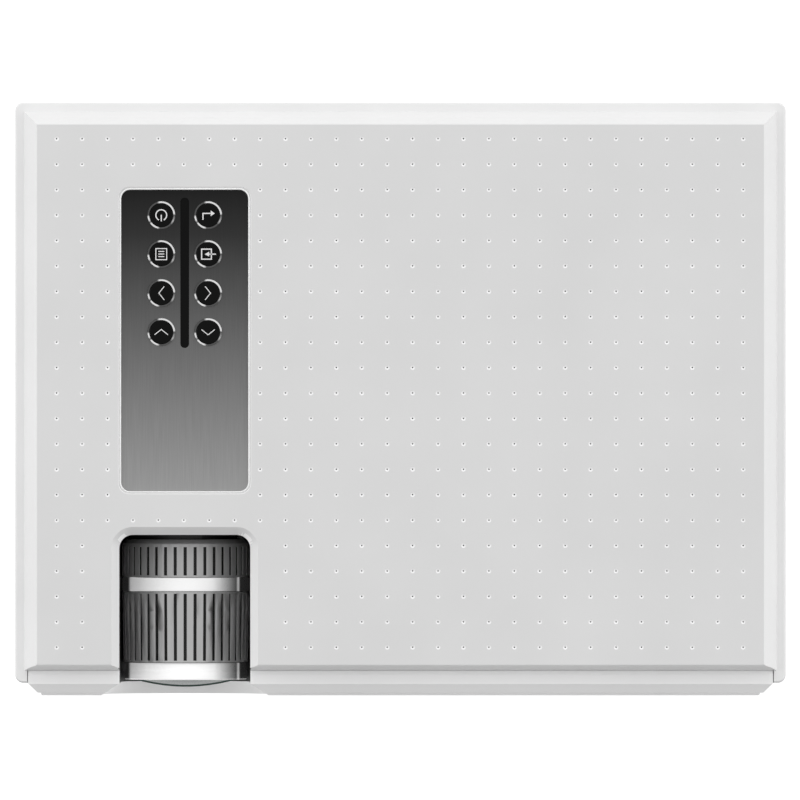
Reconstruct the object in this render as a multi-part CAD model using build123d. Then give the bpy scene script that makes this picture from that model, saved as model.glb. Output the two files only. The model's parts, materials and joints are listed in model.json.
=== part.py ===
from build123d import *
import math
import os

# A table-top projector with a disc drive in it. Sizes are in millimetres. X runs to the right as the
# front is looked at, Y runs to the back and Z up. The origin is on the table under the body's middle.

# ---------------------------------------------------------------------------------- housing
BODY_WIDTH = 285.0  # over the two side walls
SHELL_DEPTH = 214.6  # the two shells, without the front panel
NOSE_DEPTH = 4.7  # how far the front panel stands out of the shells
BODY_HEIGHT = 105.0  # from the table to the top face
FOOT_HEIGHT = 4.0  # from the table to the bottom case
WALL = 2.5  # moulded walls
PANEL_THICKNESS = 2.3  # rear panel's flange
CORNER_RADIUS = 3.0  # upright corners
AXIS_BELOW_TOP = 40.0  # top face down to the optical axis
JOINT_BELOW_AXIS = 13.0  # optical axis down to where the two shells meet
BOTTOM_CHAMFER = 2.6  # round the bottom case's underside
PANEL_FIT = 0.3  # round a panel that drops into an opening
SEAT_FIT = 0.05  # round a piece that is pushed home
BOND = 0.5  # how far a boss or post runs into the wall that it grows from
CUT = 1.0  # how far a cut runs past the face that it goes through
ROUND_END = 0.498  # corner radius against width of a slot with round ends
PLATEAU_RISE = 7.0  # the raised top above the ledge round it
LEDGE_SIDE = 3.4  # width of the ledge at the sides and the back
LEDGE_FRONT = 4.6  # the same at the front, where the front panel hooks over it
SLOPE_SIDE = 4.6  # plan width of the slope up to the top face
SLOPE_FRONT = 2.0  # the same at the front, where it is steeper
SHOULDER_SIDE = 2.5  # part of that slope above its break, which is flatter
SHOULDER_FRONT = 0.9
SHOULDER_DROP = 2.5  # top face down to the break
TOP_EDGE = 0.7  # small rounding of the top face's edge
SEAM = 0.6  # shadow line where the shells meet

BACK_Y = (SHELL_DEPTH + NOSE_DEPTH) / 2
FRONT_Y = -BACK_Y
SHELL_FRONT_Y = FRONT_Y + NOSE_DEPTH
SHELL_MID_Y = (BACK_Y + SHELL_FRONT_Y) / 2
HALF_WIDTH = BODY_WIDTH / 2
FLOOR_TOP = FOOT_HEIGHT + WALL
LEDGE_Z = BODY_HEIGHT - PLATEAU_RISE
LEDGE_UNDER = LEDGE_Z - WALL
TOP_UNDER = BODY_HEIGHT - WALL
SHOULDER_Z = BODY_HEIGHT - SHOULDER_DROP
AXIS_HEIGHT = BODY_HEIGHT - AXIS_BELOW_TOP
JOINT_HEIGHT = AXIS_HEIGHT - JOINT_BELOW_AXIS

# screws that hold the shells together
TOWER_RADIUS = 5.0
TOWER_INSET = 10.5  # side wall to the tower's axis
TOWER_FRONT = 13.0  # shell's front to the first tower
TOWER_MIDDLE = 57.0  # shell's front to the second tower
TOWER_BACK = 13.5  # shell's back to the third tower
SCREW_RADIUS = 1.5
SCREW_HEAD_RADIUS = 2.8
SCREW_HEAD_HEIGHT = 1.8
SCREW_LENGTH = 18.0
SCREW_BITE = 6.0  # length of the screw in the top cover
SCREW_FIT = 0.2
CROSS_LENGTH = 3.2  # recess in the screw heads
CROSS_WIDTH = 0.7
CROSS_DEPTH = 0.8

SCREW_SEAT = JOINT_HEIGHT + SCREW_BITE - SCREW_LENGTH

# ---------------------------------------------------------------------------------- lens
LENS_FROM_LEFT = 62.8  # side wall to the optical axis
BAY_WIDTH = 48.4  # the open bay in the top that shows the lens
BAY_WALL = 2.2
BAY_CORNER = 5.0
FLANGE_GAP_Y = 1.4  # bay's back wall to the lens mount's flange
FLANGE_THICKNESS = 3.0
FLANGE_RADIUS = 30.0
BAY_LENGTH = 54.75  # shell's front to the bay's back wall
LIP = 2.9  # flare round the bay's top edge
FLARE = 7.0  # how much the front notch widens towards the face
RING_RADIUS = 23.65  # outside of the keystone ring and the focus ring
RING_TAPER = 0.55  # the focus ring is this much slimmer at its front
RIB_COUNT = 40
GROOVE_WIDTH = 1.2
GROOVE_DEPTH = 0.8
RIB_END = 0.7  # smooth edge at the ends of the ribs
TUBE_RADIUS = 18.5  # fixed tube that the rings turn on
TUBE_WALL = 1.6
BARREL_WALL = 2.2
RUNNING_FIT = 0.1  # between turning or sliding round parts
SHAFT_FIT = 0.05  # turning shafts and stems in their bearings
RING_GAP = 0.2  # between rings along the axis
KEYSTONE_LENGTH = 14.0
BAND_LENGTH = 5.0
FOCUS_LENGTH = 26.2
TRIM_LENGTH = 6.2
KEYSTONE_SETBACK = 1.8  # bay's back wall to the keystone ring
FOCUS_TRAVEL = 7.0  # the barrel moves forward by this much
FOCUS_TURN = 100.0  # degrees of the focus ring
FOCUS_PIN_RADIUS = 2.0
KEYSTONE_TURN = 18.0  # degrees of the keystone ring each way
SLOT_MARGIN = 6.0  # degrees of the pin's slot past its travel
KEYSTONE_PIN_RADIUS = 1.4
KEYSTONE_PIN_ORBIT = 20.5
FRONT_GLASS_RADIUS = 20.8
HEAD_WALL = 0.9  # barrel's wall round the front glass
GLASS_BULGE = 3.3
GLASS_EDGE = 3.0  # thickness of both glasses at their rims
GLASS_SEAT = 3.2  # depth of the front glass's seat in the barrel's head
TRIM_PROUD = 0.3  # trim ring past the barrel's head
COLLAR = 0.8  # collar at the tube's front end that keeps the focus ring on
COLLAR_LENGTH = 1.6
COLLAR_SETBACK = 1.2
RING_STOP = 1.8  # step behind the keystone ring
PIN_CLEARANCE = 0.4  # round the keystone pin in its slots
PIN_FROM_RING_END = 6.0  # focus ring's back end to its pins at rest
GROOVE_FLOOR_RISE = 2.2  # depth of the focus ring's helical grooves
CRADLE_SETBACK = 3.5  # front panel's spigot to the cradle's full wall
CRADLE_RIB = 3.0
CRADLE_RIB_INSET = 8.0
KEYSTONE_BEVEL = 1.6
KEYSTONE_LAND = 1.2  # bevel to the ends of the grooves
EDGE_BEVEL = 0.4  # on the bright rings
TRIM_STEP = 0.7  # trim ring's slimmer back part
TRIM_STEP_LENGTH = 2.5

LENS_X = -HALF_WIDTH + LENS_FROM_LEFT
BAY_BACK_Y = SHELL_FRONT_Y + BAY_LENGTH
KEYSTONE_BACK_Y = BAY_BACK_Y - KEYSTONE_SETBACK
KEYSTONE_FRONT_Y = KEYSTONE_BACK_Y - KEYSTONE_LENGTH
BAND_BACK_Y = KEYSTONE_FRONT_Y - RING_GAP
BAND_FRONT_Y = BAND_BACK_Y - BAND_LENGTH
FOCUS_BACK_Y = BAND_FRONT_Y - RING_GAP
FOCUS_FRONT_Y = FOCUS_BACK_Y - FOCUS_LENGTH
TRIM_BACK_Y = FOCUS_FRONT_Y - RING_GAP
TRIM_FRONT_Y = TRIM_BACK_Y - TRIM_LENGTH
TUBE_BORE = TUBE_RADIUS - TUBE_WALL
RING_BORE = TUBE_RADIUS + RUNNING_FIT
BARREL_RADIUS = TUBE_BORE - RUNNING_FIT
FLANGE_FRONT_Y = BAY_BACK_Y + BAY_WALL + FLANGE_GAP_Y
ENGINE_FRONT_Y = FLANGE_FRONT_Y + FLANGE_THICKNESS
FOCUS_PIN_Y = FOCUS_BACK_Y - PIN_FROM_RING_END
GROOVE_FLOOR = TUBE_RADIUS + GROOVE_FLOOR_RISE
ARCH_RADIUS = KEYSTONE_PIN_ORBIT + KEYSTONE_PIN_RADIUS + PIN_CLEARANCE

# ---------------------------------------------------------------------------------- light engine
PICTURE_WIDTH = 70.0  # glass of the picture panel
PICTURE_HEIGHT = 40.0
PICTURE_THICKNESS = 2.0
FRAME_BORDER = 3.6  # picture frame's border round the glass
FRAME_THICKNESS = 5.0
FRAME_REBATE = 1.0  # rim of the frame that the glass lies on
TRUNNION_RADIUS = 2.4
KEYSTONE_ARM_HALF = 1.5  # half the depth of the fork on the arm
KEYSTONE_SLOT_FIT = 0.45
ARM_THICKNESS = 3.2
ARM_SETBACK = 6.5  # engine's front to the fork
ENGINE_WALL = 2.2
ENGINE_CLEARANCE = 1.0  # round the picture frame
LENS_SHEET = 2.0  # thickness of a fresnel lens
LENS_GROOVE = 1.2  # depth of the grooves that hold them
SHEET_FIT = 0.15  # each side of a sheet lens in its groove
FRESNEL_BEFORE = 12.0  # front fresnel to the picture's pivot
FRESNEL_BEHIND = 10.0
CONDENSER_RADIUS = 20.0
CONDENSER_EDGE = 3.0
CONDENSER_BULGE = 7.0
CONDENSER_CUP = 4.0  # depth of the cup that holds it
CUP_WALL = 1.7
CONDENSER_BEHIND = 22.0  # picture's pivot to the condenser's flat side
CONDENSER_TO_LAMP = 31.0  # condenser's flat side to the engine's back end
CONDENSER_WALL = 2.0
CONDENSER_SEAT = 1.5  # width of the rim that the condenser lies on
ENGINE_FOOT = 8.0
ENGINE_FOOT_INSET = 6.0  # corner of the engine to the middle of its foot
ARM_HEIGHT = 6.0
ARM_NOTCH = 6.0  # room in the front sheet lens for the arm
PRONG = 2.0  # height of each prong of the fork
PRONG_REACH = 3.0  # prongs past the pin's axis
REFLECTOR_WALL = 1.2
LAMP_BOARD = 40.0
LAMP_BOARD_THICKNESS = 2.0
LAMP_CHIP = 14.0
LAMP_CHIP_THICKNESS = 1.0
SINK_BASE = 5.0
SINK_FINS = 20.0
FIN_COUNT = 17
FIN_THICKNESS = 1.6
FAN_SIZE = 60.0
SINK_TO_FAN = 4.45  # heat sink's fins to the fan
FAN_BELOW_AXIS = 10.0  # optical axis down to the fan's axis
FAN_DEPTH = 15.0
FAN_BLADES = 7
FAN_HUB_RADIUS = 13.0
FAN_RIM = 1.6  # wall of the fan's duct
FAN_TIP_GAP = 1.0  # blades' tips to the duct
FAN_CORNER = 3.0
FAN_SEAT = 2.2  # thickness of the motor's seat
FAN_PIN_SHY = 4.0  # fan's front face to the end of its pin
ROTOR_FRONT_GAP = 1.0
ROTOR_BACK_GAP = 0.6  # rotor to the motor's seat
FAN_PIN_RADIUS = 2.0
FAN_SCREW_INSET = 5.0
FAN_SCREW_RADIUS = 2.1
FAN_STRUT = 2.6
FAN_BLADE = 1.2
FAN_BLADE_CHORD = 15.0
FAN_BLADE_PITCH = 35.0  # degrees

FRAME_HALF_WIDTH = PICTURE_WIDTH / 2 + FRAME_BORDER
FRAME_HALF_HEIGHT = PICTURE_HEIGHT / 2 + FRAME_BORDER
ENGINE_HALF_WIDTH = FRAME_HALF_WIDTH + ENGINE_CLEARANCE + ENGINE_WALL + LENS_GROOVE
ENGINE_HALF_HEIGHT = FRAME_HALF_HEIGHT + ENGINE_CLEARANCE + ENGINE_WALL
FAN_HEIGHT = AXIS_HEIGHT - FAN_BELOW_AXIS
FAN_BACK_Y = BACK_Y - WALL - PANEL_THICKNESS
FAN_FRONT_Y = FAN_BACK_Y - FAN_DEPTH
ENGINE_BACK_Y = FAN_FRONT_Y - SINK_TO_FAN - SINK_FINS - SINK_BASE
CONDENSER_Y = ENGINE_BACK_Y - CONDENSER_TO_LAMP
PICTURE_Y = CONDENSER_Y - CONDENSER_BEHIND
KEYSTONE_ARM = PICTURE_Y - ENGINE_FRONT_Y - ARM_SETBACK  # picture's pivot to the fork that the pin moves
LID_SPLIT = AXIS_HEIGHT + ENGINE_HALF_HEIGHT - ENGINE_WALL
FRESNEL_YS = (PICTURE_Y - FRESNEL_BEFORE, PICTURE_Y + FRESNEL_BEHIND)
FRESNEL_HALF = ENGINE_HALF_WIDTH - ENGINE_WALL - RING_GAP

# ---------------------------------------------------------------------------------- control panel
PLATE_WIDTH = 46.8
PLATE_LENGTH = 111.2
PLATE_CORNER = 3.3
PLATE_THICKNESS = 1.6
PLATE_SINK = 0.6  # below the top face
PLATE_SEAT = 1.6  # width of the rim that the plate lies on
SEAT_THICKNESS = 1.5
PLATE_BEHIND_BAY = 16.2  # bay's back wall to the plate
PLATE_EDGE = 0.9  # bevel round the plate's seat
BUTTON_RADIUS = 4.35
BUTTON_FIT = 0.15
BUTTON_RING = 0.5  # wall of the bright ring round each button
BUTTON_COLUMNS = 17.3  # between the two columns
BUTTON_ROWS = 14.4  # between rows
BUTTON_TRAVEL = 0.6
BUTTON_PROUD = 0.4
BUTTON_ROUNDING = 0.35
BUTTON_FLANGE = 1.0
BUTTON_FLANGE_WIDE = 0.7
BUTTON_STEM_RADIUS = 1.5
BUTTON_GAP = 0.1  # stem to the pressed switch
RING_PROUD = 0.25
RING_FLANGE = 0.8
RING_FLANGE_WIDE = 0.6
FLANGE_GAP = 0.2
FIRST_ROW = 9.3  # plate's back edge to the first row
STRIP_LENGTH = 55.2  # dark strip between the columns
STRIP_WIDTH = 2.9
STRIP_FROM_BACK = 3.0  # plate's back edge to the strip
STRIP_SINK = 0.3
STRIP_FLANGE = 1.0
STRIP_FLANGE_WIDE = 0.7
BOARD_THICKNESS = 1.6
KEY_BOARD_DROP = 6.0  # plate's underside to the key board
KEY_BOARD_OVERHANG = 3.6  # key board past the plate on each side
SWITCH_SIZE = 6.0
SWITCH_HEIGHT = 0.9
PLUNGER_HEIGHT = 0.3
PLUNGER_RADIUS = 1.2
KEY_POST_RADIUS = 2.0
KEY_POST_INSET = 0.6  # key board's edge to its posts
RECEIVER_SIZE = (3.0, 6.0, 4.0)
LAMP_SIZE = (1.6, 3.2, 1.2)  # status lamps
LAMP_FROM_END = 5.0  # strip's end to its status lamp

PLATE_TOP = BODY_HEIGHT - PLATE_SINK
PLATE_BOTTOM = PLATE_TOP - PLATE_THICKNESS
SEAT_BOTTOM = PLATE_BOTTOM - SEAT_THICKNESS
PLATE_FRONT_Y = BAY_BACK_Y + PLATE_BEHIND_BAY
PLATE_BACK_Y = PLATE_FRONT_Y + PLATE_LENGTH
PLATE_Y = (PLATE_FRONT_Y + PLATE_BACK_Y) / 2
STRIP_Y = PLATE_BACK_Y - STRIP_FROM_BACK - STRIP_LENGTH / 2
KEY_BOARD_TOP = PLATE_BOTTOM - KEY_BOARD_DROP
KEY_BOARD_BACK_Y = PLATE_BACK_Y + KEY_BOARD_OVERHANG
KEY_BOARD_FRONT_Y = STRIP_Y - STRIP_LENGTH / 2 - KEY_BOARD_OVERHANG
KEY_BOARD_HALF = PLATE_WIDTH / 2 + KEY_BOARD_OVERHANG
RING_INNER = BUTTON_RADIUS + BUTTON_FIT
RING_OUTER = RING_INNER + BUTTON_RING
BUTTON_FLANGE_TOP = PLATE_BOTTOM - RING_FLANGE - FLANGE_GAP
SWITCH_TOP = KEY_BOARD_TOP + SWITCH_HEIGHT + PLUNGER_HEIGHT
BUTTON_NAMES = [
    ("power_button", "return_button"),
    ("menu_button", "source_button"),
    ("left_button", "right_button"),
    ("up_button", "down_button"),
]

# ---------------------------------------------------------------------------------- disc drive
DISC_RADIUS = 60.0
DISC_CLEARANCE = 1.0  # round the disc in its recess
DISC_HOLE_RADIUS = 7.5
DRIVE_FROM_TOP = 44.0  # top face down to the drive's underside
DRIVE_SETBACK = 1.0  # shell's front to the drive
SHEET = 0.8  # sheet metal
TRAY_RIM = 3.8  # beside the recess
TRAY_MARGIN = 3.0  # before and behind the recess
TRAY_END_WALL = 2.0  # tray's front and back walls
WINDOW_WIDTH = 26.0  # pickup's window in the tray's floor
HUB_GAP = 1.0  # round the turntable in the tray's floor
DATA_STEP = 3.0  # rim that the disc lies on
DATA_DEPTH = 0.5
FINGER_RADIUS = 9.0  # finger notches beside the recess
FINGER_FROM_EDGE = 4.0
FINGER_FROM_FRONT = 12.0
TRAY_FLOOR = 1.4
RECESS_DEPTH = 4.6
MECHANISM_HEIGHT = 6.8  # under the tray's floor
TRAY_GAP = 0.6  # tray to the drive's bottom
LID_GAP = 0.7  # tray to the drive's lid
SKIRT = 3.4  # tray's side walls
TRAY_TRAVEL = 130.0
RAIL_THICKNESS = 2.4
RAIL_HEIGHT = 5.0
RAIL_OVERLAP = 57.0  # rail left in the drive when the tray is out
RAIL_DROP = 1.4  # tray's underside up to the rail
RAIL_SETBACK = 2.0
RAIL_LIP = 1.2
RAIL_BITE = 1.2  # how deep a rail sits in the tray's groove
RAIL_FIT = 0.2
BEZEL_POCKET = 2.2  # bezel's face to the pocket for the eject button's flange
BEZEL_BEVEL = 0.5
BEZEL_OVER = 0.9  # bezel past the drive's top and bottom
EJECT_WIDTH = 10.0
EJECT_HEIGHT = 4.0
EJECT_TRAVEL = 1.0
EJECT_FLANGE = 1.0
EJECT_FLANGE_WIDE = 1.0
EJECT_FIT = 0.25
EJECT_SLACK = 0.4  # flange's room in its pocket, past the travel
EJECT_PROUD = 0.2
EJECT_BEVEL = 0.3
PINHOLE_RADIUS = 0.7
PINHOLE_FROM_EJECT = 14.0
PINHOLE_DEPTH = 3.0
EJECT_FROM_RIGHT = 16.0  # bezel's right end to the middle of the eject button
PLATTER_RADIUS = 14.5
SPINDLE_MOTOR_RADIUS = 12.5
SPINDLE_SHAFT_RADIUS = 1.0
TRAVERSE_THICKNESS = 0.8
ROD_RADIUS = 1.2
ROD_SPACING = 37.0
SCREW_ROD_RADIUS = 1.5
SLED_MOTOR_RADIUS = 2.7
SLED_MOTOR_LENGTH = 14.0
SLED_MOTOR_PAST = 2.0  # motor's back end behind the disc's middle
SLED_LENGTH = 12.0
SLED_TRAVEL = 30.0
SLED_HEIGHT = 4.8
SLED_FROM_HUB = 22.5  # disc's middle to the sled's middle at rest
SLED_ARM = 2.6  # sled past its rods
OBJECTIVE_RADIUS = 2.6
OBJECTIVE_BACK = 2.0  # behind the sled's middle
HEAD_HALF = 9.0
SCREW_FROM_ROD = 6.0
SLED_END_GAP = 0.6
HOLDER_HALF = 2.4  # bearings of the rods and the lead screw
HOLDER_RISE = 2.0
ROD_SEAT_FIT = 0.02
ROD_START = 3.0  # disc's middle to the rods' front bearings
SCREW_START = 0.5
TRAVERSE_POST_RADIUS = 2.4
TRAVERSE_POSTS_X = (-31.0, 34.0)  # from the disc's middle
TRAVERSE_POSTS_Y = (-14.0, 54.0)
POST_MARGIN = 4.0  # traverse plate past its posts' axes
HUB_DROP = 0.8  # turntable's underside below the tray's floor
HUB_RISE = 0.2  # turntable above the tray's recess
BOSS_FIT = 0.2  # centring boss in the disc's hole
BOSS_RISE = 2.6
BOSS_BEVEL = 0.8
NOSE_RADIUS = 0.9
NOSE_COUNT = 3
BRACKET_LEG = 8.0
BRACKET_SHEET = 2.0
BRACKET_RAIL = 12.0  # width of the bracket's frame
BRACKET_SETBACK = 24.0  # drive's front to the bracket

DRIVE_LEFT_LIMIT = LENS_X + ENGINE_HALF_WIDTH
DRIVE_RIGHT_LIMIT = HALF_WIDTH - TOWER_INSET - TOWER_RADIUS
DRIVE_X = (DRIVE_LEFT_LIMIT + DRIVE_RIGHT_LIMIT) / 2  # midway between the engine and the screw towers
DRIVE_BOTTOM = BODY_HEIGHT - DRIVE_FROM_TOP
DRIVE_FRONT_Y = SHELL_FRONT_Y + DRIVE_SETBACK
RECESS_RADIUS = DISC_RADIUS + DISC_CLEARANCE
TRAY_HALF = RECESS_RADIUS + TRAY_RIM
TRAY_LENGTH = 2 * (RECESS_RADIUS + TRAY_MARGIN)
RAIL_INNER = TRAY_HALF - RAIL_BITE
RAIL_OUTER = RAIL_INNER + RAIL_THICKNESS
DRIVE_SIDE = RAIL_OUTER + RAIL_FIT
DRIVE_HALF = DRIVE_SIDE + SHEET
BEZEL_FACE_Y = FRONT_Y + PANEL_FIT
BEZEL_THICKNESS = BEZEL_POCKET + EJECT_FLANGE + EJECT_TRAVEL + EJECT_SLACK
RAIL_LENGTH = TRAY_TRAVEL / 2 + RAIL_OVERLAP
TRAY_FRONT_Y = BEZEL_FACE_Y + BEZEL_THICKNESS
TRAY_BACK_Y = TRAY_FRONT_Y + TRAY_LENGTH
DISC_Y = TRAY_FRONT_Y + TRAY_LENGTH / 2
TRAY_BOTTOM = DRIVE_BOTTOM + SHEET + TRAY_GAP
TRAY_FLOOR_UNDER = TRAY_BOTTOM + MECHANISM_HEIGHT
DISC_SEAT = TRAY_FLOOR_UNDER + TRAY_FLOOR
TRAY_TOP = DISC_SEAT + RECESS_DEPTH
LID_BOTTOM = TRAY_TOP + LID_GAP
DRIVE_TOP = LID_BOTTOM + SHEET
DRIVE_BACK_Y = TRAY_BACK_Y + 3 * SHEET
RAIL_BOTTOM = TRAY_BOTTOM + RAIL_DROP
RAIL_FRONT_Y = DRIVE_FRONT_Y + RAIL_SETBACK
BEZEL_HALF = RAIL_OUTER + PANEL_FIT  # the rails come out through the bezel's opening
BEZEL_BOTTOM = DRIVE_BOTTOM - BEZEL_OVER
BEZEL_TOP = DRIVE_TOP + BEZEL_OVER
BEZEL_MIDDLE = (BEZEL_BOTTOM + BEZEL_TOP) / 2
WINDOW_LENGTH = RECESS_RADIUS - SKIRT / 2
TRAVERSE_BOTTOM = TRAY_BOTTOM + RUNNING_FIT
TRAVERSE_TOP = TRAVERSE_BOTTOM + TRAVERSE_THICKNESS
ROD_HEIGHT = TRAVERSE_TOP + SLED_MOTOR_RADIUS
ROD_END_Y = DISC_Y + SLED_FROM_HUB + SLED_TRAVEL + SLED_LENGTH / 2 + SLED_END_GAP
SCREW_ROD_X = DRIVE_X + ROD_SPACING / 2 + SCREW_FROM_ROD
SLED_BOTTOM = TRAVERSE_TOP + BOND
EJECT_X = DRIVE_X + BEZEL_HALF - EJECT_FROM_RIGHT

# ---------------------------------------------------------------------------------- front, back, sides
FRONT_FRAME = 7.8  # side wall's outside to the front opening
FRONT_OVERLAP = 3.0  # front panel past that opening
FRONT_ABOVE_FLOOR = 5.1  # floor of the case to that opening
HOOK_THICKNESS = 2.5  # part of the front panel that lies over the ledge
HOOK_BEAM = 3.2  # top cover left under that part
HOOK_BEVEL = 1.5  # sloping back edge of the hook
HOOK_DROP = 0.45
FRONT_CHAMFER = 3.5
FACE_STEP = 1.0  # raised face on the front panel
FACE_MARGIN = 1.2  # chamfer to the raised face
SPIGOT_DEPTH = 5.5
SPIGOT_WALL = 2.0
SPEAKER_RADIUS = 18.0
SPEAKER_DEPTH = 14.0
SPEAKER_SPACING = 60.0
SPEAKER_FROM_RIGHT = 82.5  # side wall to the middle of the pair
SPEAKER_MARGIN = 7.0  # grille past the speakers at its ends
SPEAKER_SHY = 3.0  # speaker opening's edge inside the speakers' rims
SPEAKER_CORNER = 4.0
CONE_ROLL = 2.4  # rim of the speaker's basket
BASKET_FLANGE = 1.6
BASKET_STEP = 8.0
MAGNET_DEPTH = 4.0
CONE_DIP = 5.8
CONE_CAP = 0.3  # dust cap against the speaker
CONE_THICKNESS = 1.0
MAGNET_SHARE = 0.62  # basket's back against its front
GRILLE_THICKNESS = 2.4
GRILLE_FLANGE = 2.0  # speaker grille's flange behind the front panel
FLANGE_THICK = 1.2
GRILLE_BAR = 2.4  # upright bars between the slots
GRILLE_SLOT = 2.0
GRILLE_PITCH = 4.0
BACK_FRAME = 20.5  # side wall's outside to the back opening
BACK_ABOVE_BOTTOM = 10.0  # underside up to the back opening
BACK_BELOW_TOP = 19.0  # top face down to it
FAN_SLOT_REACH = 3.5  # fan grille's slots inside the fan's edge
FAN_SLOT_SHORT = 4.0  # half of the shortest slot
FAN_SLOT_WIDEN = 0.2  # half of what the fan's slots are wider than the speakers'
FAN_SLOT_RIB = 1.2  # half the upright rib in the fan's grille
FAN_SLOT_MARGIN = 5.0
FAN_GRILLE_SHY = 1.0  # fan grille's edge inside the fan's
INSERT_STEP = 2.0  # inserts' flanges behind the edges of the rear panel's openings
SOCKET_PLATE_MARGIN = 4.0
PANEL_SINK = 0.6
PANEL_FLANGE = 3.0
SIDE_GRILLE_LENGTH = 105.0
SIDE_GRILLE_ABOVE_JOINT = 8.0
SIDE_GRILLE_BELOW_LEDGE = 10.0
SIDE_FLANGE = 1.6
SIDE_MARGIN = 2.4
SIDE_END_MARGIN = 4.0
SIDE_GRILLE_FROM_BACK = 34.5
SIDE_SLOT = 2.6
SIDE_PITCH = 5.2

SPEAKER_X = HALF_WIDTH - SPEAKER_FROM_RIGHT
SPEAKER_HEIGHT = (FLOOR_TOP + DRIVE_BOTTOM) / 2  # midway under the drive
FRONT_LOW = FLOOR_TOP + FRONT_ABOVE_FLOOR
HOOK_BOTTOM = LEDGE_Z - HOOK_THICKNESS
FRONT_HIGH = HOOK_BOTTOM - PANEL_FIT - HOOK_BEAM
FRONT_PANEL_HALF = HALF_WIDTH - FRONT_FRAME + FRONT_OVERLAP
BACK_LOW = FOOT_HEIGHT + BACK_ABOVE_BOTTOM
BACK_HIGH = BODY_HEIGHT - BACK_BELOW_TOP
SIDE_GRILLE_LOW = JOINT_HEIGHT + SIDE_GRILLE_ABOVE_JOINT
SIDE_GRILLE_HIGH = LEDGE_Z - SIDE_GRILLE_BELOW_LEDGE

# ---------------------------------------------------------------------------------- boards and sockets
MAIN_BOARD_HEIGHT = 16.0  # table to its underside
MAIN_BOARD_FROM_RIGHT = 17.0
MAIN_BOARD_FROM_ENGINE = 12.2  # engine's right side to the board
MAIN_BOARD_BEHIND_DRIVE = 14.2
MAIN_BOARD_TO_PANEL = 1.0
MAIN_POST_INSET = 5.0
# x from the board's left edge, share of its depth in front of the chip, width, depth, height
MAIN_BOARD_CHIPS = (
    (60.0, 0.21875, 24.0, 24.0, 8.0),
    (96.0, 0.25, 12.0, 18.0, 1.2),
    (20.0, 0.3125, 20.0, 14.0, 1.4),
)
MAIN_POST_BACK_INSET = 8.0
POWER_BOARD_HEIGHT = 13.0
POWER_BOARD_WIDTH = 104.0
POWER_BOARD_DEPTH = 78.0
POWER_BOARD_FROM_FRONT = 39.0
POWER_POST_INSET = 5.0
# transformer and heat sink plate: x from the board's middle, y from its front, sizes
POWER_BOARD_BLOCKS = (
    (-14.0, 26.0, 28.0, 26.0, 24.0),
    (24.0, 36.0, 3.0, 30.0, 22.0),
)
POWER_BOARD_CANS = (  # capacitors: x, y, radius, height
    (-32.0, 24.0, 9.0, 26.0),
    (28.0, 24.0, 5.0, 20.0),
    (40.0, 24.0, 5.0, 20.0),
)
POST_RADIUS = 3.0
SOCKET_FIT = 0.3
SOCKET_WALL = 0.6
VIDEO_WIDTH = 15.6  # video sockets
VIDEO_HEIGHT = 6.8
DATA_WIDTH = 14.4  # data sockets
DATA_HEIGHT = 7.2
SOCKET_DEPTH = 13.0
JACK_RADIUS = 1.8  # bore of a 3.5 mm jack
JACK_BODY = 6.4
VIDEO_PLACES = (-100.0, -78.0)  # along the main board from its right end
DATA_PLACES = (-56.0, -38.0)
JACK_PLACES = (-24.0, -12.0)
INLET_FROM_CENTRE = -14.0
INLET_HEIGHT = 30.0
INLET_WIDTH = 22.0
INLET_TALL = 14.0
INLET_DEPTH = 18.0
INLET_PIN_SPACING = 8.6
INLET_PIN_RADIUS = 1.2
INLET_CAVITY_RADIUS = 4.3
INLET_FLOOR = 4.0  # thickness behind the cavity
INLET_PIN_SHY = 3.0  # pins' tips inside the mouth
INLET_FLANGE = 2.0
JACK_FLOOR = 1.5
JACK_RISE = 0.6
JACK_SHOULDER = 0.4
TONGUE_THICKNESS = 1.0
TONGUE_SHY = 4.5  # tongue's tip inside the mouth
TONGUE_SIDE = 2.4
TONGUE_RISE = 0.1
SOCKET_FLOOR = 1.0

MAIN_BOARD_RIGHT = HALF_WIDTH - MAIN_BOARD_FROM_RIGHT
MAIN_BOARD_LEFT = LENS_X + ENGINE_HALF_WIDTH + MAIN_BOARD_FROM_ENGINE
MAIN_BOARD_TOP = MAIN_BOARD_HEIGHT + BOARD_THICKNESS
MAIN_BOARD_BACK_Y = BACK_Y - WALL - PANEL_THICKNESS - MAIN_BOARD_TO_PANEL
MAIN_BOARD_FRONT_Y = DRIVE_BACK_Y + MAIN_BOARD_BEHIND_DRIVE
JACK_HEIGHT = MAIN_BOARD_TOP + JACK_BODY / 2 + JACK_RISE
SOCKET_FACE_Y = BACK_Y - PANEL_SINK
POWER_BOARD_FRONT_Y = SHELL_FRONT_Y + POWER_BOARD_FROM_FRONT

# ---------------------------------------------------------------------------------- feet and bottom
PAD_RADIUS = 8.0
PAD_INSET_X = 24.5
PAD_INSET_Y = 19.0
PAD_POCKET = 0.8
TILT_FROM_FRONT = 17.0
TILT_TRAVEL = 12.0
TILT_STEM_RADIUS = 4.0
TILT_GRIP = 9.0  # stem left in its boss when the foot is out
TILT_BOSS_WALL = 4.0
TILT_WHEEL_RADIUS = 11.5
TILT_WHEEL_HEIGHT = 4.0
TILT_PAD_RADIUS = 9.5
TILT_PAD_HEIGHT = 2.0
TILT_REST = 0.6  # gap under the tilt foot when it is screwed in
TILT_POCKET_FIT = 1.0  # round and over the wheel
TILT_PIN_RADIUS = 2.0
TILT_PIN_LENGTH = 3.0
TILT_NOTCHES = 24
TILT_NOTCH_RADIUS = 1.0
TILT_NOTCH_OUT = 0.4  # notch centres past the wheel's edge
TRIPOD_X = -24.0
TRIPOD_Y = 0.0
TRIPOD_BORE = 3.175
TRIPOD_INSERT_RADIUS = 5.0
TRIPOD_LENGTH = 9.0
TRIPOD_BOSS_WALL = 2.5
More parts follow.
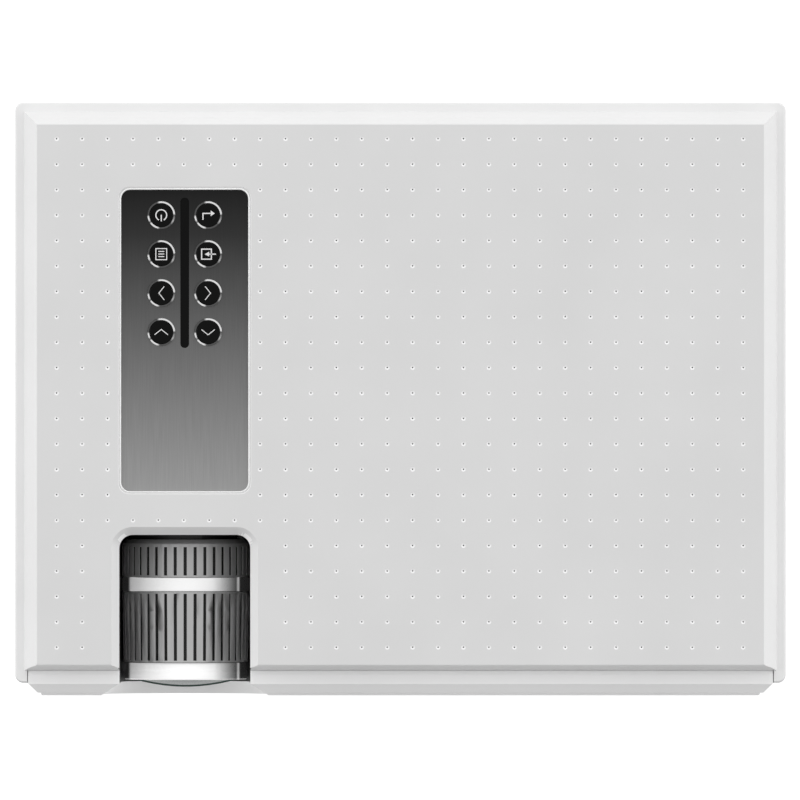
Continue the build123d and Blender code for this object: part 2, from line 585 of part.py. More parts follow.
INTAKE_SLOTS = 11
INTAKE_PITCH = 6.0
INTAKE_WIDTH = 2.6
INTAKE_LENGTH = 34.0

TILT_Y = SHELL_FRONT_Y + TILT_FROM_FRONT
TILT_WHEEL_BOTTOM = TILT_REST + TILT_PAD_HEIGHT
TILT_WHEEL_TOP = TILT_WHEEL_BOTTOM + TILT_WHEEL_HEIGHT
TILT_POCKET_TOP = TILT_WHEEL_TOP + TILT_POCKET_FIT / 2
TILT_STEM_TOP = TILT_WHEEL_TOP + TILT_TRAVEL + TILT_GRIP
TILT_BOSS_TOP = TILT_STEM_TOP + TILT_POCKET_FIT
TRIPOD_TOP = FOOT_HEIGHT + TRIPOD_LENGTH


# ---------------------------------------------------------------------------------- helpers
def block(x0, x1, y0, y1, z0, z1):
    """A box between two corners."""
    return Pos((x0 + x1) / 2, (y0 + y1) / 2, (z0 + z1) / 2) * Box(x1 - x0, y1 - y0, z1 - z0)


def slab(width, depth, radius, x, y, z0, z1):
    """An upright slab with rounded corners round the point x, y."""
    return extrude(Pos(x, y, z0) * RectangleRounded(width, depth, radius), z1 - z0)


def disc(radius, x, y, z0, z1):
    """An upright cylinder."""
    return Pos(x, y, (z0 + z1) / 2) * Cylinder(radius, z1 - z0)


def bar_y(radius, x, z, y0, y1):
    """A cylinder along Y."""
    return Pos(x, (y0 + y1) / 2, z) * Rot(90, 0, 0) * Cylinder(radius, y1 - y0)


def bar_x(radius, y, z, x0, x1):
    """A cylinder along X."""
    return Pos((x0 + x1) / 2, y, z) * Rot(0, 90, 0) * Cylinder(radius, x1 - x0)


def turned(*points):
    """A solid of revolution round the optical axis, from (radius, y) points."""
    outline = make_face(Polyline(*points, close=True))
    return Pos(LENS_X, 0, AXIS_HEIGHT) * revolve(outline, Axis.Y)


def lens_radial(angle, shape):
    """A shape drawn along +X from the optical axis, turned about that axis."""
    return Pos(LENS_X, 0, AXIS_HEIGHT) * Rot(0, angle, 0) * shape


def dome(edge_radius, bulge, thickness):
    """A lens with one flat side at z 0 and one domed side above its cylindrical edge."""
    ball = (edge_radius**2 + bulge**2) / (2 * bulge)
    cap = Pos(0, 0, thickness + bulge - ball) * Sphere(ball)
    body = Pos(0, 0, (thickness + bulge) / 2) * Cylinder(edge_radius, thickness + bulge)
    return body & cap


def group(pieces):
    """Several separate solids in one node."""
    return Compound([solid for piece in pieces for solid in piece.solids()])


# ---------------------------------------------------------------------------------- housing
def shell_block(inset, z0, z1):
    """The shells' plan outline, drawn in by inset."""
    radius = max(CORNER_RADIUS - inset, 0.5)
    return slab(BODY_WIDTH - 2 * inset, SHELL_DEPTH - 2 * inset, radius, 0, SHELL_MID_Y, z0, z1)


def plateau_outline(side_slope, front_slope, inset, z):
    """The raised top's outline at one height: how far up the slopes, and how far inside the skin."""
    x = HALF_WIDTH - LEDGE_SIDE - side_slope - inset
    back = BACK_Y - LEDGE_SIDE - side_slope - inset
    front = SHELL_FRONT_Y + LEDGE_FRONT + front_slope + inset
    return Pos(0, (front + back) / 2, z) * Rectangle(2 * x, back - front)


def plateau(inset, drop):
    """The raised top with its sloping sides, or the hollow under it."""
    foot = plateau_outline(0, 0, inset, LEDGE_Z - drop)
    break_side, break_front = SLOPE_SIDE - SHOULDER_SIDE, SLOPE_FRONT - SHOULDER_FRONT
    shoulder = plateau_outline(break_side, break_front, inset, SHOULDER_Z - drop)
    top = plateau_outline(SLOPE_SIDE, SLOPE_FRONT, inset, BODY_HEIGHT - drop)
    return loft([foot, shoulder], ruled=True) + loft([shoulder, top], ruled=True)


def tower_places():
    """The shell screws' axes."""
    x = HALF_WIDTH - TOWER_INSET
    rows = (SHELL_FRONT_Y + TOWER_FRONT, SHELL_FRONT_Y + TOWER_MIDDLE, BACK_Y - TOWER_BACK)
    return [(side * x, y) for side in (-1, 1) for y in rows]


def front_opening(z0, z1):
    """The opening behind the front panel, through the shells' front walls."""
    x = HALF_WIDTH - FRONT_FRAME
    return block(-x, x, SHELL_FRONT_Y - CUT, SHELL_FRONT_Y + WALL + CUT, z0, z1)


def back_opening(z0, z1):
    """The opening round the rear panel, through the shells' back walls."""
    x = HALF_WIDTH - BACK_FRAME
    return block(-x, x, BACK_Y - WALL - CUT, BACK_Y + CUT, z0, z1)


def bay_outline(grow, z):
    """The lens bay's plan outline; its front end runs out past the shell's front."""
    length = BAY_LENGTH + 2 * grow + 4 * BAY_CORNER
    middle = BAY_BACK_Y + grow - length / 2
    return Pos(LENS_X, middle, z) * RectangleRounded(BAY_WIDTH + 2 * grow, length, BAY_CORNER + grow)


def side_grille_span():
    """The side grilles' first and last Y."""
    back = BACK_Y - SIDE_GRILLE_FROM_BACK
    return back - SIDE_GRILLE_LENGTH, back


def plate_pocket(grow, z0, z1):
    """A slab round the control plate's outline."""
    width, length = PLATE_WIDTH + 2 * grow, PLATE_LENGTH + 2 * grow
    return slab(width, length, PLATE_CORNER, LENS_X, PLATE_Y, z0, z1)


def plate_seat_cuts():
    """The control plate's pocket with its bevelled edge, and the window that the buttons reach through."""
    width, length = PLATE_WIDTH + 2 * PANEL_FIT, PLATE_LENGTH + 2 * PANEL_FIT
    wide, long = width + 2 * PLATE_EDGE, length + 2 * PLATE_EDGE
    low = Pos(LENS_X, PLATE_Y, PLATE_TOP) * RectangleRounded(width, length, PLATE_CORNER)
    high = Pos(LENS_X, PLATE_Y, BODY_HEIGHT) * RectangleRounded(wide, long, PLATE_CORNER + PLATE_EDGE)
    bevel = loft([low, high], ruled=True)
    pocket = plate_pocket(PANEL_FIT, PLATE_BOTTOM, BODY_HEIGHT + CUT)
    return [pocket, bevel, plate_pocket(-PLATE_SEAT, SEAT_BOTTOM - CUT, PLATE_BOTTOM + CUT)]


def top_cover():
    """The upper shell: raised top, lens bay, seat for the control plate and screw posts."""
    rim = shell_block(0, JOINT_HEIGHT, LEDGE_Z)
    rim = chamfer(rim.edges().group_by(Axis.Z)[-1], SEAM)
    raised = plateau(0, 0)
    outside = rim + fillet(raised.edges().group_by(Axis.Z)[-1], TOP_EDGE)
    cavity = shell_block(WALL, JOINT_HEIGHT - CUT, LEDGE_UNDER) + plateau(WALL, WALL)
    hook_back = SHELL_FRONT_Y + LEDGE_FRONT
    beam = block(-HALF_WIDTH, HALF_WIDTH, SHELL_FRONT_Y, hook_back + WALL, FRONT_HIGH, LEDGE_Z)
    cover = outside - (cavity - beam)
    seam = shell_block(0, JOINT_HEIGHT - CUT, JOINT_HEIGHT + SEAM)
    cover -= seam - shell_block(SEAM, JOINT_HEIGHT - CUT, JOINT_HEIGHT + SEAM)
    # lens bay: walls first, then the hollow, the flared lip and the arch over the lens tube
    walls = extrude(bay_outline(BAY_WALL, AXIS_HEIGHT), BODY_HEIGHT - AXIS_HEIGHT)
    cover += walls & outside
    cover -= front_opening(JOINT_HEIGHT - CUT, FRONT_HIGH) - walls
    hook_half = FRONT_PANEL_HALF + PANEL_FIT
    hook_low = HOOK_BOTTOM - PANEL_FIT
    cover -= block(-hook_half, hook_half, SHELL_FRONT_Y - CUT, hook_back, hook_low, BODY_HEIGHT)
    cover -= extrude(bay_outline(0, AXIS_HEIGHT - CUT), BODY_HEIGHT - AXIS_HEIGHT + 2 * CUT)
    cover -= loft([bay_outline(0, BODY_HEIGHT - LIP), bay_outline(LIP, BODY_HEIGHT)], ruled=True)
    cover -= bar_y(ARCH_RADIUS, LENS_X, AXIS_HEIGHT, BAY_BACK_Y - BAY_CORNER, BAY_BACK_Y + BAY_WALL + CUT)
    # seat for the control plate, with the key board's posts under it
    cover += plate_pocket(PLATE_SEAT, SEAT_BOTTOM, TOP_UNDER)
    cover -= plate_seat_cuts()
    for x, y in key_board_posts():
        cover += disc(KEY_POST_RADIUS, x, y, KEY_BOARD_TOP, SEAT_BOTTOM + BOND)
    # screw posts, side and back openings
    for x, y in tower_places():
        cover += disc(TOWER_RADIUS, x, y, JOINT_HEIGHT, LEDGE_UNDER + BOND)
        hole_top = JOINT_HEIGHT + SCREW_BITE + CUT
        cover -= disc(SCREW_RADIUS + RUNNING_FIT, x, y, JOINT_HEIGHT - CUT, hole_top)
    y0, y1 = side_grille_span()
    out = HALF_WIDTH + CUT
    through = block(-out, out, y0, y1, SIDE_GRILLE_LOW, SIDE_GRILLE_HIGH)
    inner = HALF_WIDTH - WALL - CUT
    cover -= through - block(-inner, inner, y0 - CUT, y1 + CUT, JOINT_HEIGHT, BODY_HEIGHT)
    return cover - back_opening(JOINT_HEIGHT - CUT, BACK_HIGH)


def key_board_posts():
    """Posts under the top cover that carry the key board, outside the plate's window."""
    x = KEY_BOARD_HALF - KEY_POST_RADIUS - KEY_POST_INSET
    inset = KEY_POST_RADIUS + KEY_POST_INSET
    rows = (KEY_BOARD_FRONT_Y + inset, KEY_BOARD_BACK_Y - inset)
    return [(LENS_X + side * x, y) for side in (-1, 1) for y in rows]


def bottom_case():
    """The lower shell with its screw towers, board posts, foot pockets and intake slots."""
    outside = shell_block(0, FOOT_HEIGHT, JOINT_HEIGHT)
    outside = chamfer(outside.edges().group_by(Axis.Z)[0], BOTTOM_CHAMFER)
    case = outside - shell_block(WALL, FLOOR_TOP + BOTTOM_CHAMFER, JOINT_HEIGHT + CUT)
    case -= shell_block(WALL + BOTTOM_CHAMFER, FLOOR_TOP, JOINT_HEIGHT + CUT)
    case -= front_opening(FRONT_LOW, JOINT_HEIGHT + CUT)
    case -= back_opening(BACK_LOW, JOINT_HEIGHT + CUT)
    under = FOOT_HEIGHT - CUT
    for x, y in tower_places():
        case += disc(TOWER_RADIUS, x, y, FLOOR_TOP - BOND, JOINT_HEIGHT)
        case -= disc(SCREW_RADIUS + SCREW_FIT, x, y, under, JOINT_HEIGHT + CUT)
        case -= disc(SCREW_HEAD_RADIUS + SCREW_FIT, x, y, under, SCREW_SEAT)
    for x, y in pad_places():
        case -= disc(PAD_RADIUS + RUNNING_FIT, x, y, under, FOOT_HEIGHT + PAD_POCKET)
    for x, y in main_board_posts():
        case += disc(POST_RADIUS, x, y, FLOOR_TOP - BOND, MAIN_BOARD_HEIGHT)
    for x, y in power_board_posts():
        case += disc(POST_RADIUS, x, y, FLOOR_TOP - BOND, POWER_BOARD_HEIGHT)
    # pocket and boss for the tilt foot
    pocket = TILT_WHEEL_RADIUS + TILT_POCKET_FIT
    case += disc(pocket + WALL, 0, TILT_Y, FLOOR_TOP - BOND, TILT_POCKET_TOP + WALL)
    case += disc(TILT_STEM_RADIUS + TILT_BOSS_WALL, 0, TILT_Y, TILT_POCKET_TOP, TILT_BOSS_TOP)
    case -= disc(pocket, 0, TILT_Y, under, TILT_POCKET_TOP)
    case -= disc(TILT_STEM_RADIUS + SHAFT_FIT, 0, TILT_Y, FOOT_HEIGHT, TILT_BOSS_TOP + CUT)
    # boss for the tripod insert
    boss = TRIPOD_INSERT_RADIUS + TRIPOD_BOSS_WALL
    case += disc(boss, TRIPOD_X, TRIPOD_Y, FLOOR_TOP - BOND, TRIPOD_TOP + WALL)
    case -= disc(TRIPOD_INSERT_RADIUS, TRIPOD_X, TRIPOD_Y, under, TRIPOD_TOP)
    # cooling air comes in under the picture panel
    corner = ROUND_END * INTAKE_WIDTH
    for i in range(INTAKE_SLOTS):
        x = LENS_X + (i - (INTAKE_SLOTS - 1) / 2) * INTAKE_PITCH
        case -= slab(INTAKE_WIDTH, INTAKE_LENGTH, corner, x, PICTURE_Y, under, FLOOR_TOP + CUT)
    return case


def pad_places():
    """The four rubber feet."""
    x = HALF_WIDTH - PAD_INSET_X
    rows = (SHELL_FRONT_Y + PAD_INSET_Y, BACK_Y - PAD_INSET_Y)
    return [(side * x, y) for side in (-1, 1) for y in rows]


def rubber_feet():
    """Four rubber feet in their pockets."""
    return group([disc(PAD_RADIUS, x, y, 0, FOOT_HEIGHT + PAD_POCKET) for x, y in pad_places()])


def case_screws():
    """Six long screws from below, each with a cross recess."""
    screws = []
    head_bottom = SCREW_SEAT - SCREW_HEAD_HEIGHT
    for x, y in tower_places():
        head = disc(SCREW_HEAD_RADIUS, x, y, head_bottom, SCREW_SEAT)
        for width, depth in ((CROSS_LENGTH, CROSS_WIDTH), (CROSS_WIDTH, CROSS_LENGTH)):
            head -= Pos(x, y, head_bottom) * Box(width, depth, 2 * CROSS_DEPTH)
        screws.append(head + disc(SCREW_RADIUS, x, y, SCREW_SEAT - RUNNING_FIT, SCREW_SEAT + SCREW_LENGTH))
    return group(screws)


def tripod_insert():
    """Brass insert for a tripod screw."""
    bore = disc(TRIPOD_BORE, TRIPOD_X, TRIPOD_Y, FOOT_HEIGHT - CUT, TRIPOD_TOP + CUT)
    return disc(TRIPOD_INSERT_RADIUS, TRIPOD_X, TRIPOD_Y, FOOT_HEIGHT, TRIPOD_TOP) - bore


def tilt_foot_pad():
    """Rubber pad on the tilt foot, with the swivel pin that stays still while the screw turns."""
    pad = disc(TILT_PAD_RADIUS, 0, TILT_Y, TILT_REST, TILT_WHEEL_BOTTOM)
    low, high = TILT_WHEEL_BOTTOM - BOND, TILT_WHEEL_BOTTOM + TILT_PIN_LENGTH
    return pad + disc(TILT_PIN_RADIUS, 0, TILT_Y, low, high)


def tilt_foot_screw():
    """Knurled wheel and screw stem."""
    wheel = disc(TILT_WHEEL_RADIUS, 0, TILT_Y, TILT_WHEEL_BOTTOM, TILT_WHEEL_TOP)
    middle = (TILT_WHEEL_BOTTOM + TILT_WHEEL_TOP) / 2
    place = Pos(TILT_WHEEL_RADIUS + TILT_NOTCH_OUT, 0, middle)
    notch = place * Cylinder(TILT_NOTCH_RADIUS, TILT_WHEEL_HEIGHT + CUT)
    step = 360 / TILT_NOTCHES
    wheel -= [Pos(0, TILT_Y, 0) * Rot(0, 0, step * i) * notch for i in range(TILT_NOTCHES)]
    stem = disc(TILT_STEM_RADIUS, 0, TILT_Y, TILT_WHEEL_TOP - BOND, TILT_STEM_TOP)
    bore_top = TILT_WHEEL_BOTTOM + TILT_PIN_LENGTH + SCREW_FIT
    bore = disc(TILT_PIN_RADIUS + RUNNING_FIT, 0, TILT_Y, TILT_WHEEL_BOTTOM - CUT, bore_top)
    return wheel + stem - bore


# ---------------------------------------------------------------------------------- panels
def notch_outline(half, y):
    """The lens notch seen from the front: round below the axis and open at the top."""
    top = BODY_HEIGHT - AXIS_HEIGHT + CUT
    left, low, right = (-half, 0), (0, -half), (half, 0)
    edge = ThreePointArc(left, low, right) + Polyline(right, (half, top), (-half, top), left)
    flat = make_face(edge)
    return Plane(origin=(LENS_X, y, AXIS_HEIGHT), x_dir=(1, 0, 0), z_dir=(0, -1, 0)) * flat


def front_panel_face():
    """Front panel's chamfered plate with its raised face and the hook over the ledge."""
    x = FRONT_PANEL_HALF
    z0, z1 = FRONT_LOW - FRONT_OVERLAP, LEDGE_Z
    face_y = FRONT_Y + FACE_STEP
    plate = block(-x, x, face_y, SHELL_FRONT_Y, z0, z1)
    plate = chamfer(plate.edges().group_by(Axis.Y)[0], FRONT_CHAMFER)
    inner = FRONT_CHAMFER + FACE_MARGIN
    raised = block(-x + inner, x - inner, FRONT_Y, face_y + BOND, z0 + inner, z1 - inner)
    raised = chamfer(raised.edges().group_by(Axis.Y)[0], FACE_STEP / 2)
    hook_back = SHELL_FRONT_Y + LEDGE_FRONT - SEAT_FIT
    hook = block(-x, x, SHELL_FRONT_Y - BOND, hook_back, HOOK_BOTTOM, z1)
    edge = hook.edges().filter_by(Axis.X).group_by(Axis.Y)[-1].sort_by(Axis.Z)[-1]
    hook = chamfer(edge, HOOK_DROP, HOOK_BEVEL, reference=hook.faces().sort_by(Axis.Y)[-1])
    bay = BAY_WIDTH / 2
    hook -= block(LENS_X - bay, LENS_X + bay, SHELL_FRONT_Y, hook_back + CUT, 0, BODY_HEIGHT)
    return plate + raised + hook


def front_spigot():
    """Rim behind the front panel that locates it in the shells' opening."""
    x = HALF_WIDTH - FRONT_FRAME - PANEL_FIT
    z0, z1 = FRONT_LOW + PANEL_FIT, FRONT_HIGH - PANEL_FIT
    back = SHELL_FRONT_Y + SPIGOT_DEPTH
    wall = SPIGOT_WALL
    spigot = block(-x, x, SHELL_FRONT_Y - BOND, back, z0, z1)
    spigot -= block(-x + wall, x - wall, SHELL_FRONT_Y - CUT, back + CUT, z0 + wall, z1 - wall)
    bay = BAY_WIDTH / 2 + BAY_WALL + PANEL_FIT
    return spigot - block(LENS_X - bay, LENS_X + bay, SHELL_FRONT_Y, back + CUT, AXIS_HEIGHT, BODY_HEIGHT)


def front_panel():
    """Front panel: chamfered plate, raised face, flared lens notch, tray slot and speaker opening."""
    panel = front_panel_face() + front_spigot()
    narrow = BAY_WIDTH / 2 - PANEL_FIT
    wide = narrow + FLARE * (NOSE_DEPTH + CUT) / NOSE_DEPTH
    panel -= loft([notch_outline(narrow, SHELL_FRONT_Y), notch_outline(wide, FRONT_Y - CUT)], ruled=True)
    slot = BEZEL_HALF + PANEL_FIT
    low, high = BEZEL_BOTTOM - PANEL_FIT, BEZEL_TOP + PANEL_FIT
    panel -= block(DRIVE_X - slot, DRIVE_X + slot, FRONT_Y - CUT, SHELL_FRONT_Y + CUT, low, high)
    panel -= speaker_opening(PANEL_FIT)
    flange_y = SHELL_FRONT_Y - FLANGE_THICK
    behind = block(-HALF_WIDTH, HALF_WIDTH, flange_y, SHELL_FRONT_Y + CUT, 0, BODY_HEIGHT)
    return panel - (speaker_opening(GRILLE_FLANGE + PANEL_FIT) & behind)


def speaker_opening(grow):
    """The rounded opening for the speaker grille in the front panel."""
    half = SPEAKER_SPACING / 2 + SPEAKER_RADIUS + SPEAKER_MARGIN + grow
    tall = SPEAKER_RADIUS - SPEAKER_SHY + grow
    plane = Plane(origin=(SPEAKER_X, FRONT_Y - CUT, SPEAKER_HEIGHT), x_dir=(1, 0, 0), z_dir=(0, 1, 0))
    outline = RectangleRounded(2 * half, 2 * tall, SPEAKER_CORNER + grow)
    return extrude(plane * outline, NOSE_DEPTH + 2 * CUT)


def speaker_grille():
    """Slotted insert over the speakers."""
    x = HALF_WIDTH
    grille = block(-x, x, SHELL_FRONT_Y - GRILLE_THICKNESS, SHELL_FRONT_Y, 0, BODY_HEIGHT)
    grille &= speaker_opening(0)
    flange = block(-x, x, SHELL_FRONT_Y - FLANGE_THICK, SHELL_FRONT_Y, 0, BODY_HEIGHT)
    grille += speaker_opening(GRILLE_FLANGE) & flange
    length = 2 * (SPEAKER_SPACING / 2 + SPEAKER_RADIUS + SPEAKER_MARGIN - SPEAKER_CORNER)
    gaps = int((2 * (SPEAKER_RADIUS - SPEAKER_SHY - SPEAKER_CORNER) + GRILLE_SLOT) / GRILLE_PITCH)
    half_width, half_slot = length / 6 - GRILLE_BAR / 2, GRILLE_SLOT / 2
    slots = []
    for i in range(gaps + 1):
        z = SPEAKER_HEIGHT + (i - gaps / 2) * GRILLE_PITCH
        for side in (-1, 0, 1):
            x0, x1 = (SPEAKER_X + side * length / 3 + end * half_width for end in (-1, 1))
            slots.append(block(x0, x1, FRONT_Y, SHELL_FRONT_Y + CUT, z - half_slot, z + half_slot))
    return grille - slots


def fan_slots(y0, y1):
    """The rows of slots in front of the fan, in two halves beside an upright rib."""
    gaps = int((FAN_SIZE - 2 * FAN_SLOT_MARGIN) / GRILLE_PITCH)
    half = GRILLE_SLOT / 2 + FAN_SLOT_WIDEN
    slots = []
    for i in range(gaps + 1):
        dz = (i - gaps / 2) * GRILLE_PITCH
        reach = math.sqrt(max((FAN_SIZE / 2 - FAN_SLOT_REACH) ** 2 - dz**2, FAN_SLOT_SHORT**2))
        z = FAN_HEIGHT + dz
        row = block(LENS_X - reach, LENS_X + reach, y0, y1, z - half, z + half)
        slots.append(row - block(LENS_X - FAN_SLOT_RIB, LENS_X + FAN_SLOT_RIB, y0, y1, z - half, z + half))
    return slots


def stepped_panel(x0, x1, z0, z1, steps):
    """A panel in the rear wall, with a flange that reaches past its left, right, lower and upper edge."""
    flange_back = BACK_Y - WALL
    panel = block(x0, x1, flange_back - BOND, BACK_Y - PANEL_SINK, z0, z1)
    left, right, low, high = steps
    flange = block(x0 - left, x1 + right, FAN_BACK_Y, flange_back, z0 - low, z1 + high)
    return panel + flange


def stepped_opening(x0, x1, z0, z1):
    """What an insert with its flange takes out of the rear panel."""
    middle, step = BACK_Y - WALL, INSERT_STEP
    opening = block(x0, x1, middle - CUT, BACK_Y + CUT, z0, z1)
    return opening + block(x0 - step, x1 + step, FAN_BACK_Y - CUT, middle, z0 - step, z1 + step)


def rear_panel():
    """Rear panel: flanged plate with two inserts, the fan's grille and the socket plate."""
    x = HALF_WIDTH - BACK_FRAME - PANEL_FIT
    z0, z1 = BACK_LOW + PANEL_FIT, BACK_HIGH - PANEL_FIT
    y0, y1 = FAN_BACK_Y - CUT, BACK_Y + CUT
    grow, fit = PANEL_FLANGE + PANEL_FIT, SOCKET_FIT
    inner = INSERT_STEP - 2 * PANEL_FIT
    panel = stepped_panel(-x, x, z0, z1, (grow, grow, grow, grow))

    half = FAN_SIZE / 2 - FAN_GRILLE_SHY
    edges = (LENS_X - half, LENS_X + half, FAN_HEIGHT - half, FAN_HEIGHT + half)
    panel -= stepped_opening(*edges)
    half -= PANEL_FIT
    edges = (LENS_X - half, LENS_X + half, FAN_HEIGHT - half, FAN_HEIGHT + half)
    fan_grille = stepped_panel(*edges, (inner, inner, inner, inner)) - fan_slots(y0, y1)

    *sockets, inlet = [
        block(x0 - fit, x1 + fit, y0, y1, low - fit, high + fit) for x0, x1, low, high in socket_outlines()
    ]
    jacks = [bar_y(JACK_BODY / 2 + fit, place, JACK_HEIGHT, y0, y1) for place in jack_places()]
    left, top = socket_plate_corner()
    panel -= stepped_opening(left, x + 2 * grow, z0 - 2 * grow, top)
    edges = (left + PANEL_FIT, x, z0, top - PANEL_FIT)
    socket_plate = stepped_panel(*edges, (inner, grow, grow, inner)) - sockets - jacks
    return group([panel - inlet, fan_grille, socket_plate])


def socket_plate_corner():
    """Left and upper edge of the rear panel's corner that the socket plate fills."""
    sockets = socket_outlines()[:-1]
    left = min(x0 for x0, x1, low, high in sockets)
    top = max(high for x0, x1, low, high in sockets)
    return left - SOCKET_PLATE_MARGIN, top + SOCKET_PLATE_MARGIN


def jack_places():
    """The middles of the two audio jacks."""
    return [MAIN_BOARD_RIGHT + place for place in JACK_PLACES]


def socket_outlines():
    """x0, x1, z0, z1 of every rectangular socket in the rear panel, the mains inlet last."""
    outlines = []
    kinds = ((VIDEO_PLACES, VIDEO_WIDTH, VIDEO_HEIGHT), (DATA_PLACES, DATA_WIDTH, DATA_HEIGHT))
    for places, width, height in kinds:
        for place in places:
            x0 = MAIN_BOARD_RIGHT + place - width / 2
            outlines.append((x0, x0 + width, MAIN_BOARD_TOP, MAIN_BOARD_TOP + height))
    x0 = INLET_FROM_CENTRE - INLET_WIDTH / 2
    low = INLET_HEIGHT - INLET_TALL / 2
    outlines.append((x0, x0 + INLET_WIDTH, low, low + INLET_TALL))
    return outlines


def side_grilles():
    """The left and right louvred inserts, flanged on the inside."""
    y0, y1 = side_grille_span()
    x_in, x_out = HALF_WIDTH - WALL, HALF_WIDTH - PANEL_SINK
    low, high = SIDE_GRILLE_LOW + PANEL_FIT, SIDE_GRILLE_HIGH - PANEL_FIT
    panel = block(x_in - BOND, x_out, y0 + PANEL_FIT, y1 - PANEL_FIT, low, high)
    grow = PANEL_FLANGE
    panel += block(x_in - SIDE_FLANGE, x_in, y0 - grow, y1 + grow, low - grow, high + grow)
    gaps = int((SIDE_GRILLE_LENGTH - 2 * SIDE_END_MARGIN) / SIDE_PITCH)
    x0, x1 = x_in - SIDE_FLANGE - CUT, x_out + CUT
    slots = []
    for i in range(gaps + 1):
        y = (y0 + y1) / 2 + (i - gaps / 2) * SIDE_PITCH
        slot_y0, slot_y1 = y - SIDE_SLOT / 2, y + SIDE_SLOT / 2
        slots.append(block(x0, x1, slot_y0, slot_y1, low + SIDE_MARGIN, high - SIDE_MARGIN))
    right = panel - slots
    return group([right, mirror(right, about=Plane.YZ)])


# ---------------------------------------------------------------------------------- control panel
def button_places():
    """(name, x, y) of each button."""
    places = []
    for row, pair in enumerate(BUTTON_NAMES):
        y = PLATE_BACK_Y - FIRST_ROW - row * BUTTON_ROWS
        for side, name in zip((-1, 1), pair):
            places.append((name, LENS_X + side * BUTTON_COLUMNS / 2, y))
    return places


def control_plate():
    """Dark plate with eight round holes and a slot for the strip."""
    plate = slab(PLATE_WIDTH, PLATE_LENGTH, PLATE_CORNER, LENS_X, PLATE_Y, PLATE_BOTTOM, PLATE_TOP)
    low, high = PLATE_BOTTOM - CUT, PLATE_TOP + CUT
    holes = [disc(RING_OUTER + BUTTON_FIT, x, y, low, high) for _, x, y in button_places()]
    return plate - holes - strip_outline(BUTTON_FIT, BUTTON_FIT, low, high)


def button_rings():
    """Bright rings round the buttons, each clipped under the plate by a small flange."""
    rings = []
    for _, x, y in button_places():
        ring = disc(RING_OUTER, x, y, PLATE_BOTTOM - RING_FLANGE / 2, PLATE_TOP + RING_PROUD)
        ring += disc(RING_OUTER + RING_FLANGE_WIDE, x, y, PLATE_BOTTOM - RING_FLANGE, PLATE_BOTTOM)
        rings.append(ring - disc(RING_INNER, x, y, PLATE_BOTTOM - RING_FLANGE - CUT, PLATE_TOP + CUT))
    return group(rings)


def button(x, y):
    """One button: domed cap, retaining flange and the stem that meets its switch."""
    flange_bottom = BUTTON_FLANGE_TOP - BUTTON_FLANGE
    cap = disc(BUTTON_RADIUS, x, y, flange_bottom, PLATE_TOP + BUTTON_PROUD)
    cap = fillet(cap.edges().group_by(Axis.Z)[-1], BUTTON_ROUNDING)
    flange = disc(RING_INNER + BUTTON_FLANGE_WIDE, x, y, flange_bottom, BUTTON_FLANGE_TOP)
    stem = disc(BUTTON_STEM_RADIUS, x, y, SWITCH_TOP + BUTTON_TRAVEL + BUTTON_GAP, BUTTON_FLANGE_TOP)
    return cap + flange + stem


def strip_outline(grow_width, grow_length, z0, z1):
    """A long slab with round ends on the indicator strip's place."""
    width, length = STRIP_WIDTH + 2 * grow_width, STRIP_LENGTH + 2 * grow_length
    return slab(width, length, ROUND_END * width, LENS_X, STRIP_Y, z0, z1)


def indicator_strip():
    """Dark window over the remote receiver and the status lamps, held under the plate by its flange."""
    strip = strip_outline(0, 0, PLATE_BOTTOM - STRIP_FLANGE, PLATE_TOP - STRIP_SINK)
    return strip + strip_outline(STRIP_FLANGE_WIDE, STRIP_FLANGE, PLATE_BOTTOM - STRIP_FLANGE, PLATE_BOTTOM)


def key_board():
    """Circuit board under the buttons, with its switches, the remote receiver and two status lamps."""
    x0, x1 = LENS_X - KEY_BOARD_HALF, LENS_X + KEY_BOARD_HALF
    top = KEY_BOARD_TOP
    parts = [block(x0, x1, KEY_BOARD_FRONT_Y, KEY_BOARD_BACK_Y, top - BOARD_THICKNESS, top)]
    for _, x, y in button_places():
        switch = Pos(x, y, top + SWITCH_HEIGHT / 2) * Box(SWITCH_SIZE, SWITCH_SIZE, SWITCH_HEIGHT)
        parts.append(switch + disc(PLUNGER_RADIUS, x, y, top + SWITCH_HEIGHT / 2, SWITCH_TOP))
    parts.append(Pos(LENS_X, STRIP_Y, top + RECEIVER_SIZE[2] / 2) * Box(*RECEIVER_SIZE))
    for side in (-1, 1):
        y = STRIP_Y + side * (STRIP_LENGTH / 2 - LAMP_FROM_END)
        parts.append(Pos(LENS_X, y, top + LAMP_SIZE[2] / 2) * Box(*LAMP_SIZE))
    return group(parts)


